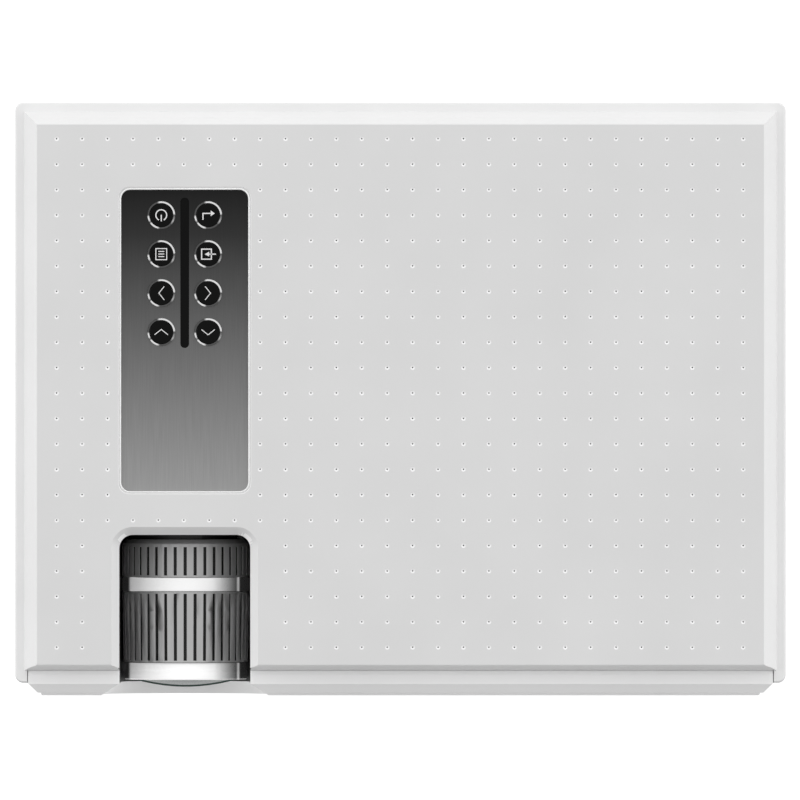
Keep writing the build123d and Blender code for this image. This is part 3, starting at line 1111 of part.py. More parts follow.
# ---------------------------------------------------------------------------------- lens
def lens_cradle():
    """Trough that closes the lens bay below the axis, on two ribs and a foot plate."""
    inner, outer = BAY_WIDTH / 2, BAY_WIDTH / 2 + BAY_WALL
    left, right = LENS_X - outer, LENS_X + outer
    y0, y1 = SHELL_FRONT_Y + WALL + CRADLE_SETBACK, BAY_BACK_Y + BAY_WALL
    trough = turned(
        (inner, SHELL_FRONT_Y), (outer, SHELL_FRONT_Y), (outer, y1), (ARCH_RADIUS, y1),
        (ARCH_RADIUS, BAY_BACK_Y), (inner, BAY_BACK_Y),
    )
    trough &= block(left, right, SHELL_FRONT_Y, y1, 0, AXIS_HEIGHT)
    foot_y0 = y0 + CRADLE_SETBACK
    base = block(left, right, foot_y0, y1, FLOOR_TOP, FLOOR_TOP + WALL)
    rib_half = inner - CRADLE_SETBACK
    ribs = []
    for y in (foot_y0 + CRADLE_RIB_INSET, y1 - CRADLE_RIB_INSET):
        rib_y0, rib_y1 = y - CRADLE_RIB / 2, y + CRADLE_RIB / 2
        rib = block(LENS_X - rib_half, LENS_X + rib_half, rib_y0, rib_y1, FLOOR_TOP, AXIS_HEIGHT)
        ribs.append(rib - bar_y(inner + BOND, LENS_X, AXIS_HEIGHT, rib_y0 - CUT, rib_y1 + CUT))
    return trough + base + ribs


def arc_slot(y0, y1):
    """The curved slot that the keystone pin swings in."""
    low = KEYSTONE_PIN_ORBIT - KEYSTONE_PIN_RADIUS - PIN_CLEARANCE
    high = KEYSTONE_PIN_ORBIT + KEYSTONE_PIN_RADIUS + PIN_CLEARANCE
    ring = turned((low, y0), (high, y0), (high, y1), (low, y1))
    half = math.radians(KEYSTONE_TURN + SLOT_MARGIN)
    reach = high / math.cos(half) + CUT
    rise = reach * math.tan(half)
    wedge = make_face(Polyline((0, 0), (reach, rise), (reach, -rise), close=True))
    prism = extrude(Plane.XZ * wedge, SHELL_DEPTH, both=True)
    return ring & (Pos(LENS_X, 0, AXIS_HEIGHT) * prism)


def lens_mount():
    """Fixed tube and flange: the rings turn on it, and its straight slots guide the barrel's pins."""
    front = FOCUS_FRONT_Y + COLLAR_SETBACK
    y0, y1 = FLANGE_FRONT_Y, ENGINE_FRONT_Y
    collar, collar_back = TUBE_RADIUS + COLLAR, front + COLLAR_LENGTH
    mount = turned(
        (TUBE_BORE, front), (collar, front), (collar, collar_back), (TUBE_RADIUS, collar_back),
        (TUBE_RADIUS, y0), (FLANGE_RADIUS, y0), (FLANGE_RADIUS, y1), (TUBE_BORE, y1),
    )
    stop_y, inside, step = KEYSTONE_BACK_Y + RING_GAP, TUBE_RADIUS - BOND, TUBE_RADIUS + RING_STOP
    stop = turned((inside, stop_y), (step, stop_y), (step, y0 + BOND), (inside, y0 + BOND))
    # the step leaves room at the right, where the keystone pin swings
    pin_side = LENS_X + TUBE_RADIUS / 3
    mount += stop - block(pin_side, LENS_X + BAY_WIDTH, KEYSTONE_BACK_Y, y0, 0, BODY_HEIGHT)
    mount -= arc_slot(y0 - CUT, y1 + CUT)
    half = FOCUS_PIN_RADIUS + RUNNING_FIT
    slot_y0, slot_y1 = FOCUS_PIN_Y - FOCUS_TRAVEL - half - RING_GAP, FOCUS_PIN_Y + half + RING_GAP
    reach = TUBE_RADIUS + BOND
    slots = block(LENS_X - reach, LENS_X + reach, slot_y0, slot_y1, AXIS_HEIGHT - half, AXIS_HEIGHT + half)
    return mount - slots


def flute_cuts(radius, y0, y1):
    """Grip grooves round a ring, between two places along the axis."""
    half = GROOVE_WIDTH / 2
    groove = block(radius - GROOVE_DEPTH, radius + 2 * CUT, y0, y1, -half, half)
    return [lens_radial(360 / RIB_COUNT * i, groove) for i in range(RIB_COUNT)]


def keystone_ring():
    """Ribbed ring that turns to correct the picture's shape; its pin reaches back to the picture frame."""
    y0, y1 = KEYSTONE_FRONT_Y, KEYSTONE_BACK_Y
    bevel = KEYSTONE_BEVEL
    ring = turned(
        (RING_BORE, y0), (RING_RADIUS, y0), (RING_RADIUS, y1 - bevel), (RING_RADIUS - bevel, y1),
        (RING_BORE, y1),
    )
    ring -= flute_cuts(RING_RADIUS, y0 + RIB_END, y1 - bevel - KEYSTONE_LAND)
    pin_end = PICTURE_Y - KEYSTONE_ARM + KEYSTONE_ARM_HALF + BOND
    pin = bar_y(KEYSTONE_PIN_RADIUS, LENS_X + KEYSTONE_PIN_ORBIT, AXIS_HEIGHT, y1 - bevel, pin_end)
    return ring + pin


def lens_band():
    """Bright fixed band between the two rings."""
    y0, y1 = BAND_FRONT_Y, BAND_BACK_Y
    outer = RING_RADIUS - RUNNING_FIT
    bevel = EDGE_BEVEL
    return turned(
        (TUBE_RADIUS, y0), (outer - bevel, y0), (outer, y0 + bevel), (outer, y1 - bevel),
        (outer - bevel, y1), (TUBE_RADIUS, y1),
    )


def focus_cam():
    """One helical groove of the focus ring, along Z, with the pin's round seats at its two ends."""
    middle = (RING_BORE + GROOVE_FLOOR) / 2
    width = 2 * (FOCUS_PIN_RADIUS + RUNNING_FIT)
    depth = GROOVE_FLOOR - RING_BORE + CUT
    pitch = FOCUS_TRAVEL * 360 / FOCUS_TURN
    helix = Helix(pitch=pitch, height=FOCUS_TRAVEL, radius=middle, lefthand=True)
    across = Plane(origin=helix @ 0, z_dir=helix % 0, x_dir=(1, 0, 0))
    cam = sweep(across * Rectangle(depth, width), path=helix, is_frenet=True)
    for angle, z in ((0, 0), (-FOCUS_TURN, FOCUS_TRAVEL)):
        cam += Rot(0, 0, angle) * Pos(middle, 0, z) * Rot(0, 90, 0) * Cylinder(width / 2, depth)
    return cam


def focus_ring():
    """Ribbed focus ring: two helical grooves in its bore push the barrel's pins along."""
    y0, y1 = FOCUS_FRONT_Y, FOCUS_BACK_Y
    front_radius = RING_RADIUS - RING_TAPER
    step = y0 + COLLAR_SETBACK + COLLAR_LENGTH + RING_GAP
    wide = TUBE_RADIUS + COLLAR + RUNNING_FIT
    ring = turned(
        (wide, y0), (front_radius, y0), (RING_RADIUS, y1), (RING_BORE, y1), (RING_BORE, step), (wide, step)
    )
    ring -= flute_cuts(front_radius, y0 + RIB_END, y1 - RIB_END)
    cam = focus_cam()
    for turn in (0, 180):
        ring -= Pos(LENS_X, FOCUS_PIN_Y, AXIS_HEIGHT) * Rot(90, 0, 0) * Rot(0, 0, turn) * cam
    return ring


def lens_barrel():
    """Sliding barrel: a wide head for the front glass, a slim tube behind it and two guide pins."""
    head = FRONT_GLASS_RADIUS + HEAD_WALL
    y0, y1 = TRIM_FRONT_Y + TRIM_PROUD, TRIM_BACK_Y
    seat, seat_radius = y0 + GLASS_SEAT, FRONT_GLASS_RADIUS + SEAT_FIT
    tail = FOCUS_PIN_Y + PIN_FROM_RING_END
    bore = BARREL_RADIUS - BARREL_WALL
    throat, floor_y = FRONT_GLASS_RADIUS - TUBE_WALL, y1 - TUBE_WALL
    barrel = turned(
        (bore, floor_y), (throat, floor_y), (throat, seat), (seat_radius, seat), (seat_radius, y0),
        (head, y0), (head, y1), (BARREL_RADIUS, y1), (BARREL_RADIUS, tail), (bore, tail),
    )
    pin_end = GROOVE_FLOOR - PIN_CLEARANCE
    for side in (-1, 1):
        x0, x1 = sorted((LENS_X + side * (bore + BOND), LENS_X + side * pin_end))
        barrel += bar_x(FOCUS_PIN_RADIUS, FOCUS_PIN_Y, AXIS_HEIGHT, x0, x1)
    return barrel


def lens_trim_ring():
    """Bright ring round the barrel's head."""
    inner, outer = FRONT_GLASS_RADIUS + HEAD_WALL, RING_RADIUS - RING_TAPER - RING_GAP
    slim, bevel = outer - TRIM_STEP, EDGE_BEVEL
    y0, y1 = TRIM_FRONT_Y, TRIM_BACK_Y
    step = y1 - TRIM_STEP_LENGTH
    return turned(
        (inner, y0), (outer - bevel, y0), (outer, y0 + bevel), (outer, step - TRIM_STEP), (slim, step),
        (slim, y1), (inner, y1),
    )


def lens_glass():
    """Front and rear lens elements."""
    forward = Rot(90, 0, 0)
    seat = TRIM_FRONT_Y + TRIM_PROUD + GLASS_SEAT
    front = Pos(LENS_X, seat, AXIS_HEIGHT) * forward * dome(FRONT_GLASS_RADIUS, GLASS_BULGE, GLASS_EDGE)
    tail = FOCUS_PIN_Y + PIN_FROM_RING_END
    rear_radius = BARREL_RADIUS - BARREL_WALL
    rear = Pos(LENS_X, tail, AXIS_HEIGHT) * forward * dome(rear_radius, GLASS_BULGE, GLASS_EDGE)
    return group([front, rear])


# ---------------------------------------------------------------------------------- light engine
def engine_section(half_width, half_height, y0, y1):
    """A block round the optical axis."""
    low, high = AXIS_HEIGHT - half_height, AXIS_HEIGHT + half_height
    return block(LENS_X - half_width, LENS_X + half_width, y0, y1, low, high)


def engine_housing():
    """Light tunnel: open-topped tub with grooves for the sheet lenses and the picture frame's saddles."""
    inner_width = FRAME_HALF_WIDTH + ENGINE_CLEARANCE
    inner_height = ENGINE_HALF_HEIGHT - ENGINE_WALL
    left, right = LENS_X - ENGINE_HALF_WIDTH - CUT, LENS_X + ENGINE_HALF_WIDTH + CUT
    front_wall = ENGINE_FRONT_Y + WALL
    tub = engine_section(ENGINE_HALF_WIDTH, ENGINE_HALF_HEIGHT, ENGINE_FRONT_Y, ENGINE_BACK_Y)
    tub -= engine_section(inner_width, inner_height, front_wall, ENGINE_BACK_Y + CUT)
    tub -= block(left, right, ENGINE_FRONT_Y - CUT, ENGINE_BACK_Y + CUT, LID_SPLIT, BODY_HEIGHT)
    tub -= bar_y(ARCH_RADIUS + BOND, LENS_X, AXIS_HEIGHT, ENGINE_FRONT_Y - CUT, front_wall + CUT)
    sheet_half = FRESNEL_HALF + RING_GAP
    thick_half = LENS_SHEET / 2 + SHEET_FIT
    for y in FRESNEL_YS:
        y0, y1 = y - thick_half, y + thick_half
        low = AXIS_HEIGHT - inner_height
        tub -= block(LENS_X - sheet_half, LENS_X + sheet_half, y0, y1, low, LID_SPLIT + CUT)
    # saddles, open at the top, for the picture frame's trunnions
    hole = TRUNNION_RADIUS + RUNNING_FIT
    tub -= bar_x(hole, PICTURE_Y, AXIS_HEIGHT, left, right)
    tub -= block(left, right, PICTURE_Y - hole, PICTURE_Y + hole, AXIS_HEIGHT, LID_SPLIT + CUT)
    # wall that carries the condenser, with its cup
    wall_y = CONDENSER_Y - CONDENSER_WALL
    wall = engine_section(inner_width + BOND, inner_height + BOND, wall_y, CONDENSER_Y)
    wall &= block(left, right, wall_y, CONDENSER_Y, 0, LID_SPLIT)
    cup_in = CONDENSER_RADIUS + SEAT_FIT
    cup_out = cup_in + CUP_WALL
    y_low, y_high = CONDENSER_Y - BOND, CONDENSER_Y + CONDENSER_CUP
    cup = turned((cup_in, y_low), (cup_out, y_low), (cup_out, y_high), (cup_in, y_high))
    tub += wall + cup
    window = CONDENSER_RADIUS - CONDENSER_SEAT
    tub -= bar_y(window, LENS_X, AXIS_HEIGHT, wall_y - CUT, CONDENSER_Y + CUT)
    return tub + engine_feet()


def engine_feet():
    """Four feet from the tunnel's corners down to the bottom case."""
    x, half = ENGINE_HALF_WIDTH - ENGINE_FOOT_INSET, ENGINE_FOOT / 2
    top = AXIS_HEIGHT - ENGINE_HALF_HEIGHT + BOND
    feet = []
    for side in (-1, 1):
        for y in (ENGINE_FRONT_Y + ENGINE_FOOT_INSET, ENGINE_BACK_Y - ENGINE_FOOT_INSET):
            middle = LENS_X + side * x
            feet.append(block(middle - half, middle + half, y - half, y + half, FLOOR_TOP, top))
    return feet


def engine_lid():
    """Flat lid with two tongues that keep the trunnions in their saddles."""
    x, top = ENGINE_HALF_WIDTH, AXIS_HEIGHT + ENGINE_HALF_HEIGHT
    lid = block(LENS_X - x, LENS_X + x, ENGINE_FRONT_Y, ENGINE_BACK_Y, LID_SPLIT, top)
    half = TRUNNION_RADIUS - RUNNING_FIT
    low = AXIS_HEIGHT + TRUNNION_RADIUS + RING_GAP
    for side in (-1, 1):
        x0, x1 = sorted((LENS_X + side * (FRAME_HALF_WIDTH + ENGINE_CLEARANCE), LENS_X + side * x))
        lid += block(x0, x1, PICTURE_Y - half, PICTURE_Y + half, low, LID_SPLIT + BOND)
    return lid


def lcd_frame():
    """Frame round the picture panel, with trunnions and the forked arm that the keystone pin moves."""
    y0, y1 = PICTURE_Y - FRAME_THICKNESS / 2, PICTURE_Y + FRAME_THICKNESS / 2
    half_width, half_height = PICTURE_WIDTH / 2, PICTURE_HEIGHT / 2
    frame = engine_section(FRAME_HALF_WIDTH, FRAME_HALF_HEIGHT, y0, y1)
    frame -= engine_section(half_width - FRAME_REBATE, half_height - FRAME_REBATE, y0 - CUT, y1 + CUT)
    frame -= engine_section(half_width, half_height, PICTURE_Y - PICTURE_THICKNESS / 2, y1 + CUT)
    trunnion_end = ENGINE_HALF_WIDTH - PANEL_FIT
    for side in (-1, 1):
        x0, x1 = sorted((LENS_X + side * (FRAME_HALF_WIDTH - BOND), LENS_X + side * trunnion_end))
        frame += bar_x(TRUNNION_RADIUS, PICTURE_Y, AXIS_HEIGHT, x0, x1)
    return frame + keystone_arm()


def keystone_arm():
    """The arm from the picture frame's right edge, beside the light, to the fork on the keystone pin."""
    gap = KEYSTONE_PIN_RADIUS + KEYSTONE_SLOT_FIT
    x_out = LENS_X + FRAME_HALF_WIDTH
    x_pin = LENS_X + KEYSTONE_PIN_ORBIT
    fork_y = PICTURE_Y - KEYSTONE_ARM
    y_near, y_far = fork_y - KEYSTONE_ARM_HALF, fork_y + KEYSTONE_ARM_HALF
    low, high = AXIS_HEIGHT - ARM_HEIGHT / 2, AXIS_HEIGHT + ARM_HEIGHT / 2
    arm = block(x_out - ARM_THICKNESS, x_out, y_far, PICTURE_Y, low, high)
    fork_low, fork_high = AXIS_HEIGHT - gap - PRONG, AXIS_HEIGHT + gap + PRONG
    fork = block(x_pin - PRONG_REACH, x_out, y_near, y_far + PRONG_REACH, fork_low, fork_high)
    slot_end = x_pin + PRONG_REACH + PIN_CLEARANCE
    slot_start, slot_back = x_pin - PRONG_REACH - CUT, y_far + PRONG_REACH + CUT
    slot_low, slot_high = AXIS_HEIGHT - gap, AXIS_HEIGHT + gap
    fork -= block(slot_start, slot_end, y_near - CUT, slot_back, slot_low, slot_high)
    fork -= block(slot_start, slot_end, y_far + BOND, slot_back, fork_low - CUT, fork_high + CUT)
    return arm + fork


def lcd_panel():
    """Picture panel glass."""
    y0 = PICTURE_Y - PICTURE_THICKNESS / 2
    half_width, half_height = PICTURE_WIDTH / 2 - RUNNING_FIT, PICTURE_HEIGHT / 2 - RUNNING_FIT
    return engine_section(half_width, half_height, y0, y0 + PICTURE_THICKNESS)


def light_lenses():
    """Two sheet lenses in their grooves and the condenser in its cup."""
    low = AXIS_HEIGHT - ENGINE_HALF_HEIGHT + ENGINE_WALL
    sheets = []
    for y in FRESNEL_YS:
        y0, y1 = y - LENS_SHEET / 2, y + LENS_SHEET / 2
        sheet = block(LENS_X - FRESNEL_HALF, LENS_X + FRESNEL_HALF, y0, y1, low, LID_SPLIT - RING_GAP)
        if y < PICTURE_Y:
            # a notch in its right edge lets the keystone arm through
            notch, half = LENS_X + FRAME_HALF_WIDTH - ARM_NOTCH, ARM_NOTCH + BOND
            edge = LENS_X + FRESNEL_HALF + CUT
            sheet -= block(notch, edge, y0 - CUT, y1 + CUT, AXIS_HEIGHT - half, AXIS_HEIGHT + half)
        sheets.append(sheet)
    condenser = dome(CONDENSER_RADIUS, CONDENSER_BULGE, CONDENSER_EDGE)
    return group([*sheets, Pos(LENS_X, CONDENSER_Y, AXIS_HEIGHT) * Rot(-90, 0, 0) * condenser])


def reflector():
    """Cone between the lamp and the condenser's cup."""
    y0, y1 = CONDENSER_Y + CONDENSER_CUP, ENGINE_BACK_Y - LAMP_BOARD_THICKNESS
    throat = LAMP_CHIP / math.sqrt(2) + BOND
    wide = CONDENSER_RADIUS + SEAT_FIT
    rim = wide + CUP_WALL
    step = y0 + REFLECTOR_WALL
    return turned((wide, y0), (rim, y0), (rim, step), (throat + REFLECTOR_WALL, y1), (throat, y1))


def lamp_module():
    """Lamp chip on its copper board."""
    y0, y1 = ENGINE_BACK_Y - LAMP_BOARD_THICKNESS, ENGINE_BACK_Y
    board = engine_section(LAMP_BOARD / 2, LAMP_BOARD / 2, y0, y1)
    return board + engine_section(LAMP_CHIP / 2, LAMP_CHIP / 2, y0 - LAMP_CHIP_THICKNESS, y1)


def heat_sink():
    """Finned heat sink that closes the tunnel's back end."""
    y0, y1 = ENGINE_BACK_Y, ENGINE_BACK_Y + SINK_BASE
    sink = engine_section(ENGINE_HALF_WIDTH, ENGINE_HALF_HEIGHT, y0, y1)
    low, high = AXIS_HEIGHT - ENGINE_HALF_HEIGHT, AXIS_HEIGHT + ENGINE_HALF_HEIGHT
    pitch = (2 * ENGINE_HALF_WIDTH - FIN_THICKNESS) / (FIN_COUNT - 1)
    for i in range(FIN_COUNT):
        x0 = LENS_X - ENGINE_HALF_WIDTH + i * pitch
        sink += block(x0, x0 + FIN_THICKNESS, y1 - BOND, y1 + SINK_FINS, low, high)
    return sink


def fan_frame():
    """Square fan frame with its duct, screw holes, three struts to the motor seat, and the rotor's pin."""
    half = FAN_SIZE / 2
    z = FAN_HEIGHT
    y0, y1 = FAN_FRONT_Y, FAN_BACK_Y
    plane = Plane(origin=(LENS_X, y1, z), x_dir=(1, 0, 0), z_dir=(0, -1, 0))
    frame = extrude(plane * RectangleRounded(FAN_SIZE, FAN_SIZE, FAN_CORNER), FAN_DEPTH)
    frame -= bar_y(half - FAN_RIM, LENS_X, z, y0 - CUT, y1 + CUT)
    place = half - FAN_SCREW_INSET
    for dx in (-place, place):
        for dz in (-place, place):
            frame -= bar_y(FAN_SCREW_RADIUS, LENS_X + dx, z + dz, y0 - CUT, y1 + CUT)
    seat = bar_y(FAN_HUB_RADIUS - BOND, LENS_X, z, y1 - FAN_SEAT, y1 - RING_GAP)
    strut = Pos(half / 2, 0, 0) * Box(half - FAN_RIM / 2, FAN_SEAT - RING_GAP, FAN_STRUT)
    middle = Pos(LENS_X, y1 - (FAN_SEAT + RING_GAP) / 2, z)
    struts = [middle * Rot(0, 120 * i + 30, 0) * strut for i in range(3)]
    return frame + seat + struts + bar_y(FAN_PIN_RADIUS, LENS_X, z, y0 + FAN_PIN_SHY, y1 - FAN_SEAT / 2)


def fan_rotor():
    """Fan hub and its seven pitched blades, on the frame's pin."""
    z = FAN_HEIGHT
    y0, y1 = FAN_FRONT_Y + ROTOR_FRONT_GAP, FAN_BACK_Y - FAN_SEAT - ROTOR_BACK_GAP
    hub = bar_y(FAN_HUB_RADIUS, LENS_X, z, y0, y1)
    reach = FAN_SIZE / 2 - FAN_RIM - FAN_TIP_GAP
    root = FAN_HUB_RADIUS - BOND
    span = reach + BOND - root
    blade = Pos(root + span / 2, 0, 0) * Rot(FAN_BLADE_PITCH, 0, 0) * Box(span, FAN_BLADE, FAN_BLADE_CHORD)
    middle = Pos(LENS_X, (y0 + y1) / 2, z)
    blades = [middle * Rot(0, 360 / FAN_BLADES * i, 0) * blade for i in range(FAN_BLADES)]
    rotor = (hub + blades) & bar_y(reach, LENS_X, z, y0, y1)
    bore_end = FAN_FRONT_Y + FAN_PIN_SHY - RING_GAP
    return rotor - bar_y(FAN_PIN_RADIUS + SHAFT_FIT, LENS_X, z, bore_end, FAN_BACK_Y)


# ---------------------------------------------------------------------------------- boards and sockets
def main_board_posts():
    """Posts under the main board."""
    inset = MAIN_POST_INSET
    columns = (MAIN_BOARD_LEFT + inset, MAIN_BOARD_RIGHT - inset)
    rows = (MAIN_BOARD_FRONT_Y + inset, MAIN_BOARD_BACK_Y - MAIN_POST_BACK_INSET)
    return [(x, y) for x in columns for y in rows]


def main_board():
    """Main board with its processor's heat spreader and large chips."""
    x0, y0, top = MAIN_BOARD_LEFT, MAIN_BOARD_FRONT_Y, MAIN_BOARD_TOP
    parts = [block(x0, MAIN_BOARD_RIGHT, y0, MAIN_BOARD_BACK_Y, MAIN_BOARD_HEIGHT, top)]
    board_depth = MAIN_BOARD_BACK_Y - MAIN_BOARD_FRONT_Y
    for x, share, width, depth, height in MAIN_BOARD_CHIPS:
        y = share * board_depth
        parts.append(block(x0 + x, x0 + x + width, y0 + y, y0 + y + depth, top, top + height))
    return group(parts)


def power_board_posts():
    """Posts under the power board."""
    inset = POWER_POST_INSET
    half = POWER_BOARD_WIDTH / 2 - inset
    rows = (POWER_BOARD_FRONT_Y + inset, POWER_BOARD_FRONT_Y + POWER_BOARD_DEPTH - inset)
    return [(DRIVE_X + side * half, y) for side in (-1, 1) for y in rows]


def power_board():
    """Power board with its transformer, capacitors and heat sink plate."""
    half = POWER_BOARD_WIDTH / 2
    y0 = POWER_BOARD_FRONT_Y
    top = POWER_BOARD_HEIGHT + BOARD_THICKNESS
    parts = [block(DRIVE_X - half, DRIVE_X + half, y0, y0 + POWER_BOARD_DEPTH, POWER_BOARD_HEIGHT, top)]
    for x, y, width, depth, height in POWER_BOARD_BLOCKS:
        parts.append(block(DRIVE_X + x, DRIVE_X + x + width, y0 + y, y0 + y + depth, top, top + height))
    for x, y, radius, height in POWER_BOARD_CANS:
        parts.append(disc(radius, DRIVE_X + x, y0 + y, top, top + height))
    return group(parts)


def hollow_socket(x0, x1, z0, z1):
    """A socket shell open at the back, with a contact tongue in it."""
    back, front = SOCKET_FACE_Y, SOCKET_FACE_Y - SOCKET_DEPTH
    wall = SOCKET_WALL
    shell = block(x0, x1, front, back, z0, z1)
    shell -= block(x0 + wall, x1 - wall, front + SOCKET_FLOOR, back + CUT, z0 + wall, z1 - wall)
    low = z0 + wall + TONGUE_RISE
    tongue_y0, tongue_y1 = front + SOCKET_FLOOR / 2, back - TONGUE_SHY
    tongue = block(x0 + TONGUE_SIDE, x1 - TONGUE_SIDE, tongue_y0, tongue_y1, low, low + TONGUE_THICKNESS)
    return shell + tongue


def port_sockets():
    """Two video sockets and two data sockets on the main board."""
    return group([hollow_socket(*outline) for outline in socket_outlines()[:-1]])


def audio_jacks():
    """Two round jacks on the main board."""
    face, front = SOCKET_FACE_Y, SOCKET_FACE_Y - SOCKET_DEPTH
    half = JACK_BODY / 2 + JACK_SHOULDER
    shoulder_y = BACK_Y - WALL - PANEL_THICKNESS - RING_GAP
    jacks = []
    for x in jack_places():
        body = block(x - half, x + half, front, shoulder_y, MAIN_BOARD_TOP, JACK_HEIGHT + half)
        body += bar_y(JACK_BODY / 2, x, JACK_HEIGHT, front + CUT, face)
        jacks.append(body - bar_y(JACK_RADIUS, x, JACK_HEIGHT, front + JACK_FLOOR, face + CUT))
    return group(jacks)


def mains_inlet():
    """Two-pin mains inlet in the rear panel."""
    x, z, back = INLET_FROM_CENTRE, INLET_HEIGHT, SOCKET_FACE_Y
    front = back - INLET_DEPTH
    half, tall = INLET_WIDTH / 2, INLET_TALL / 2
    body = block(x - half, x + half, front, back, z - tall, z + tall)
    half, tall = half + INLET_FLANGE, tall + INLET_FLANGE
    body += block(x - half, x + half, front, FAN_BACK_Y, z - tall, z + tall)
    left, right = x - INLET_PIN_SPACING / 2, x + INLET_PIN_SPACING / 2
    floor_y, radius = front + INLET_FLOOR, INLET_CAVITY_RADIUS
    body -= block(left, right, floor_y, back + CUT, z - radius, z + radius)
    for side in (left, right):
        body -= bar_y(radius, side, z, floor_y, back + CUT)
    for side in (left, right):
        body += bar_y(INLET_PIN_RADIUS, side, z, floor_y - BOND, back - INLET_PIN_SHY)
    return body


def speaker_basket(x):
    """One speaker's basket with its magnet, and its cone."""
    y0, r = SHELL_FRONT_Y, SPEAKER_RADIUS
    y1, back = y0 + BASKET_STEP, y0 + SPEAKER_DEPTH
    slim, magnet = MAGNET_SHARE * r, r / 2
    rim, roll = y0 + BASKET_FLANGE, r - CONE_ROLL
    basket = Polyline(
        (roll, y0), (r, y0), (r, rim), (slim, y1), (slim, back), (0, back), (0, back - MAGNET_DEPTH),
        (magnet, back - MAGNET_DEPTH), (magnet, y1), (roll - CUT, rim), (roll, rim), close=True,
    )
    dip, cap = y0 + CONE_DIP, CONE_CAP * r
    thick, edge = CONE_THICKNESS, roll - 1.5 * CUT
    cone = Polyline(
        (0, dip - CUT), (cap, dip), (edge, y0 + thick), (roll, y0 + thick / 2), (roll, y0 + 1.5 * thick),
        (edge, rim), (cap, dip + thick), (0, dip), close=True,
    )
    axis = Pos(x, 0, SPEAKER_HEIGHT)
    return [axis * revolve(make_face(outline), Axis.Y) for outline in (basket, cone)]


def speakers():
    """Two speakers on the front panel's back."""
    places = (SPEAKER_X - SPEAKER_SPACING / 2, SPEAKER_X + SPEAKER_SPACING / 2)
    return group([piece for x in places for piece in speaker_basket(x)])


# ---------------------------------------------------------------------------------- disc drive
def drive_bracket():
    """Frame on four legs that carries the drive over the boards."""
    x0, x1 = DRIVE_X - DRIVE_HALF, DRIVE_X + DRIVE_HALF
    y0, y1 = DRIVE_FRONT_Y + BRACKET_SETBACK, DRIVE_BACK_Y
    top, low = DRIVE_BOTTOM, DRIVE_BOTTOM - BRACKET_SHEET
    rail = BRACKET_RAIL
    bracket = block(x0, x1, y0, y1, low, top)
    bracket -= block(x0 + rail, x1 - rail, y0 + rail, y1 - rail, low - CUT, top + CUT)
    for x in (x0, x1 - BRACKET_LEG):
        for y in (y0, y1 - BRACKET_LEG):
            bracket += block(x, x + BRACKET_LEG, y, y + BRACKET_LEG, FLOOR_TOP, low + BOND)
    return bracket


def drive_base():
    """Drive's bottom sheet with side walls, back wall and the lips that hold the rails."""
    x0, x1 = DRIVE_X - DRIVE_HALF, DRIVE_X + DRIVE_HALF
    y0, y1 = DRIVE_FRONT_Y, DRIVE_BACK_Y
    floor_top = DRIVE_BOTTOM + SHEET
    base = block(x0, x1, y0, y1, DRIVE_BOTTOM, LID_BOTTOM)
    inner = DRIVE_SIDE
    base -= block(DRIVE_X - inner, DRIVE_X + inner, y0 - CUT, y1 - SHEET, floor_top, LID_BOTTOM + CUT)
    lip_end = y1 - SHEET / 2
    rail_top = RAIL_BOTTOM + RAIL_HEIGHT + RAIL_FIT
    for side in (-1, 1):
        xa, xb = sorted(DRIVE_X + side * out for out in (TRAY_HALF + PANEL_FIT, inner + SHEET / 2))
        base += block(xa, xb, y0, lip_end, floor_top - SHEET / 2, RAIL_BOTTOM - RAIL_FIT)
        base += block(xa, xb, y0, lip_end, rail_top, rail_top + RAIL_LIP)
    return base


def drive_lid():
    """Drive's top sheet."""
    x0, x1 = DRIVE_X - DRIVE_HALF, DRIVE_X + DRIVE_HALF
    return block(x0, x1, DRIVE_FRONT_Y, DRIVE_BACK_Y, LID_BOTTOM, DRIVE_TOP)


def tray_rails():
    """Left and right rails that bridge the drive and the tray when it is out."""
    y0, y1 = RAIL_FRONT_Y, RAIL_FRONT_Y + RAIL_LENGTH
    rails = []
    for side in (-1, 1):
        xa, xb = sorted((DRIVE_X + side * RAIL_INNER, DRIVE_X + side * RAIL_OUTER))
        rails.append(block(xa, xb, y0, y1, RAIL_BOTTOM, RAIL_BOTTOM + RAIL_HEIGHT))
    return group(rails)


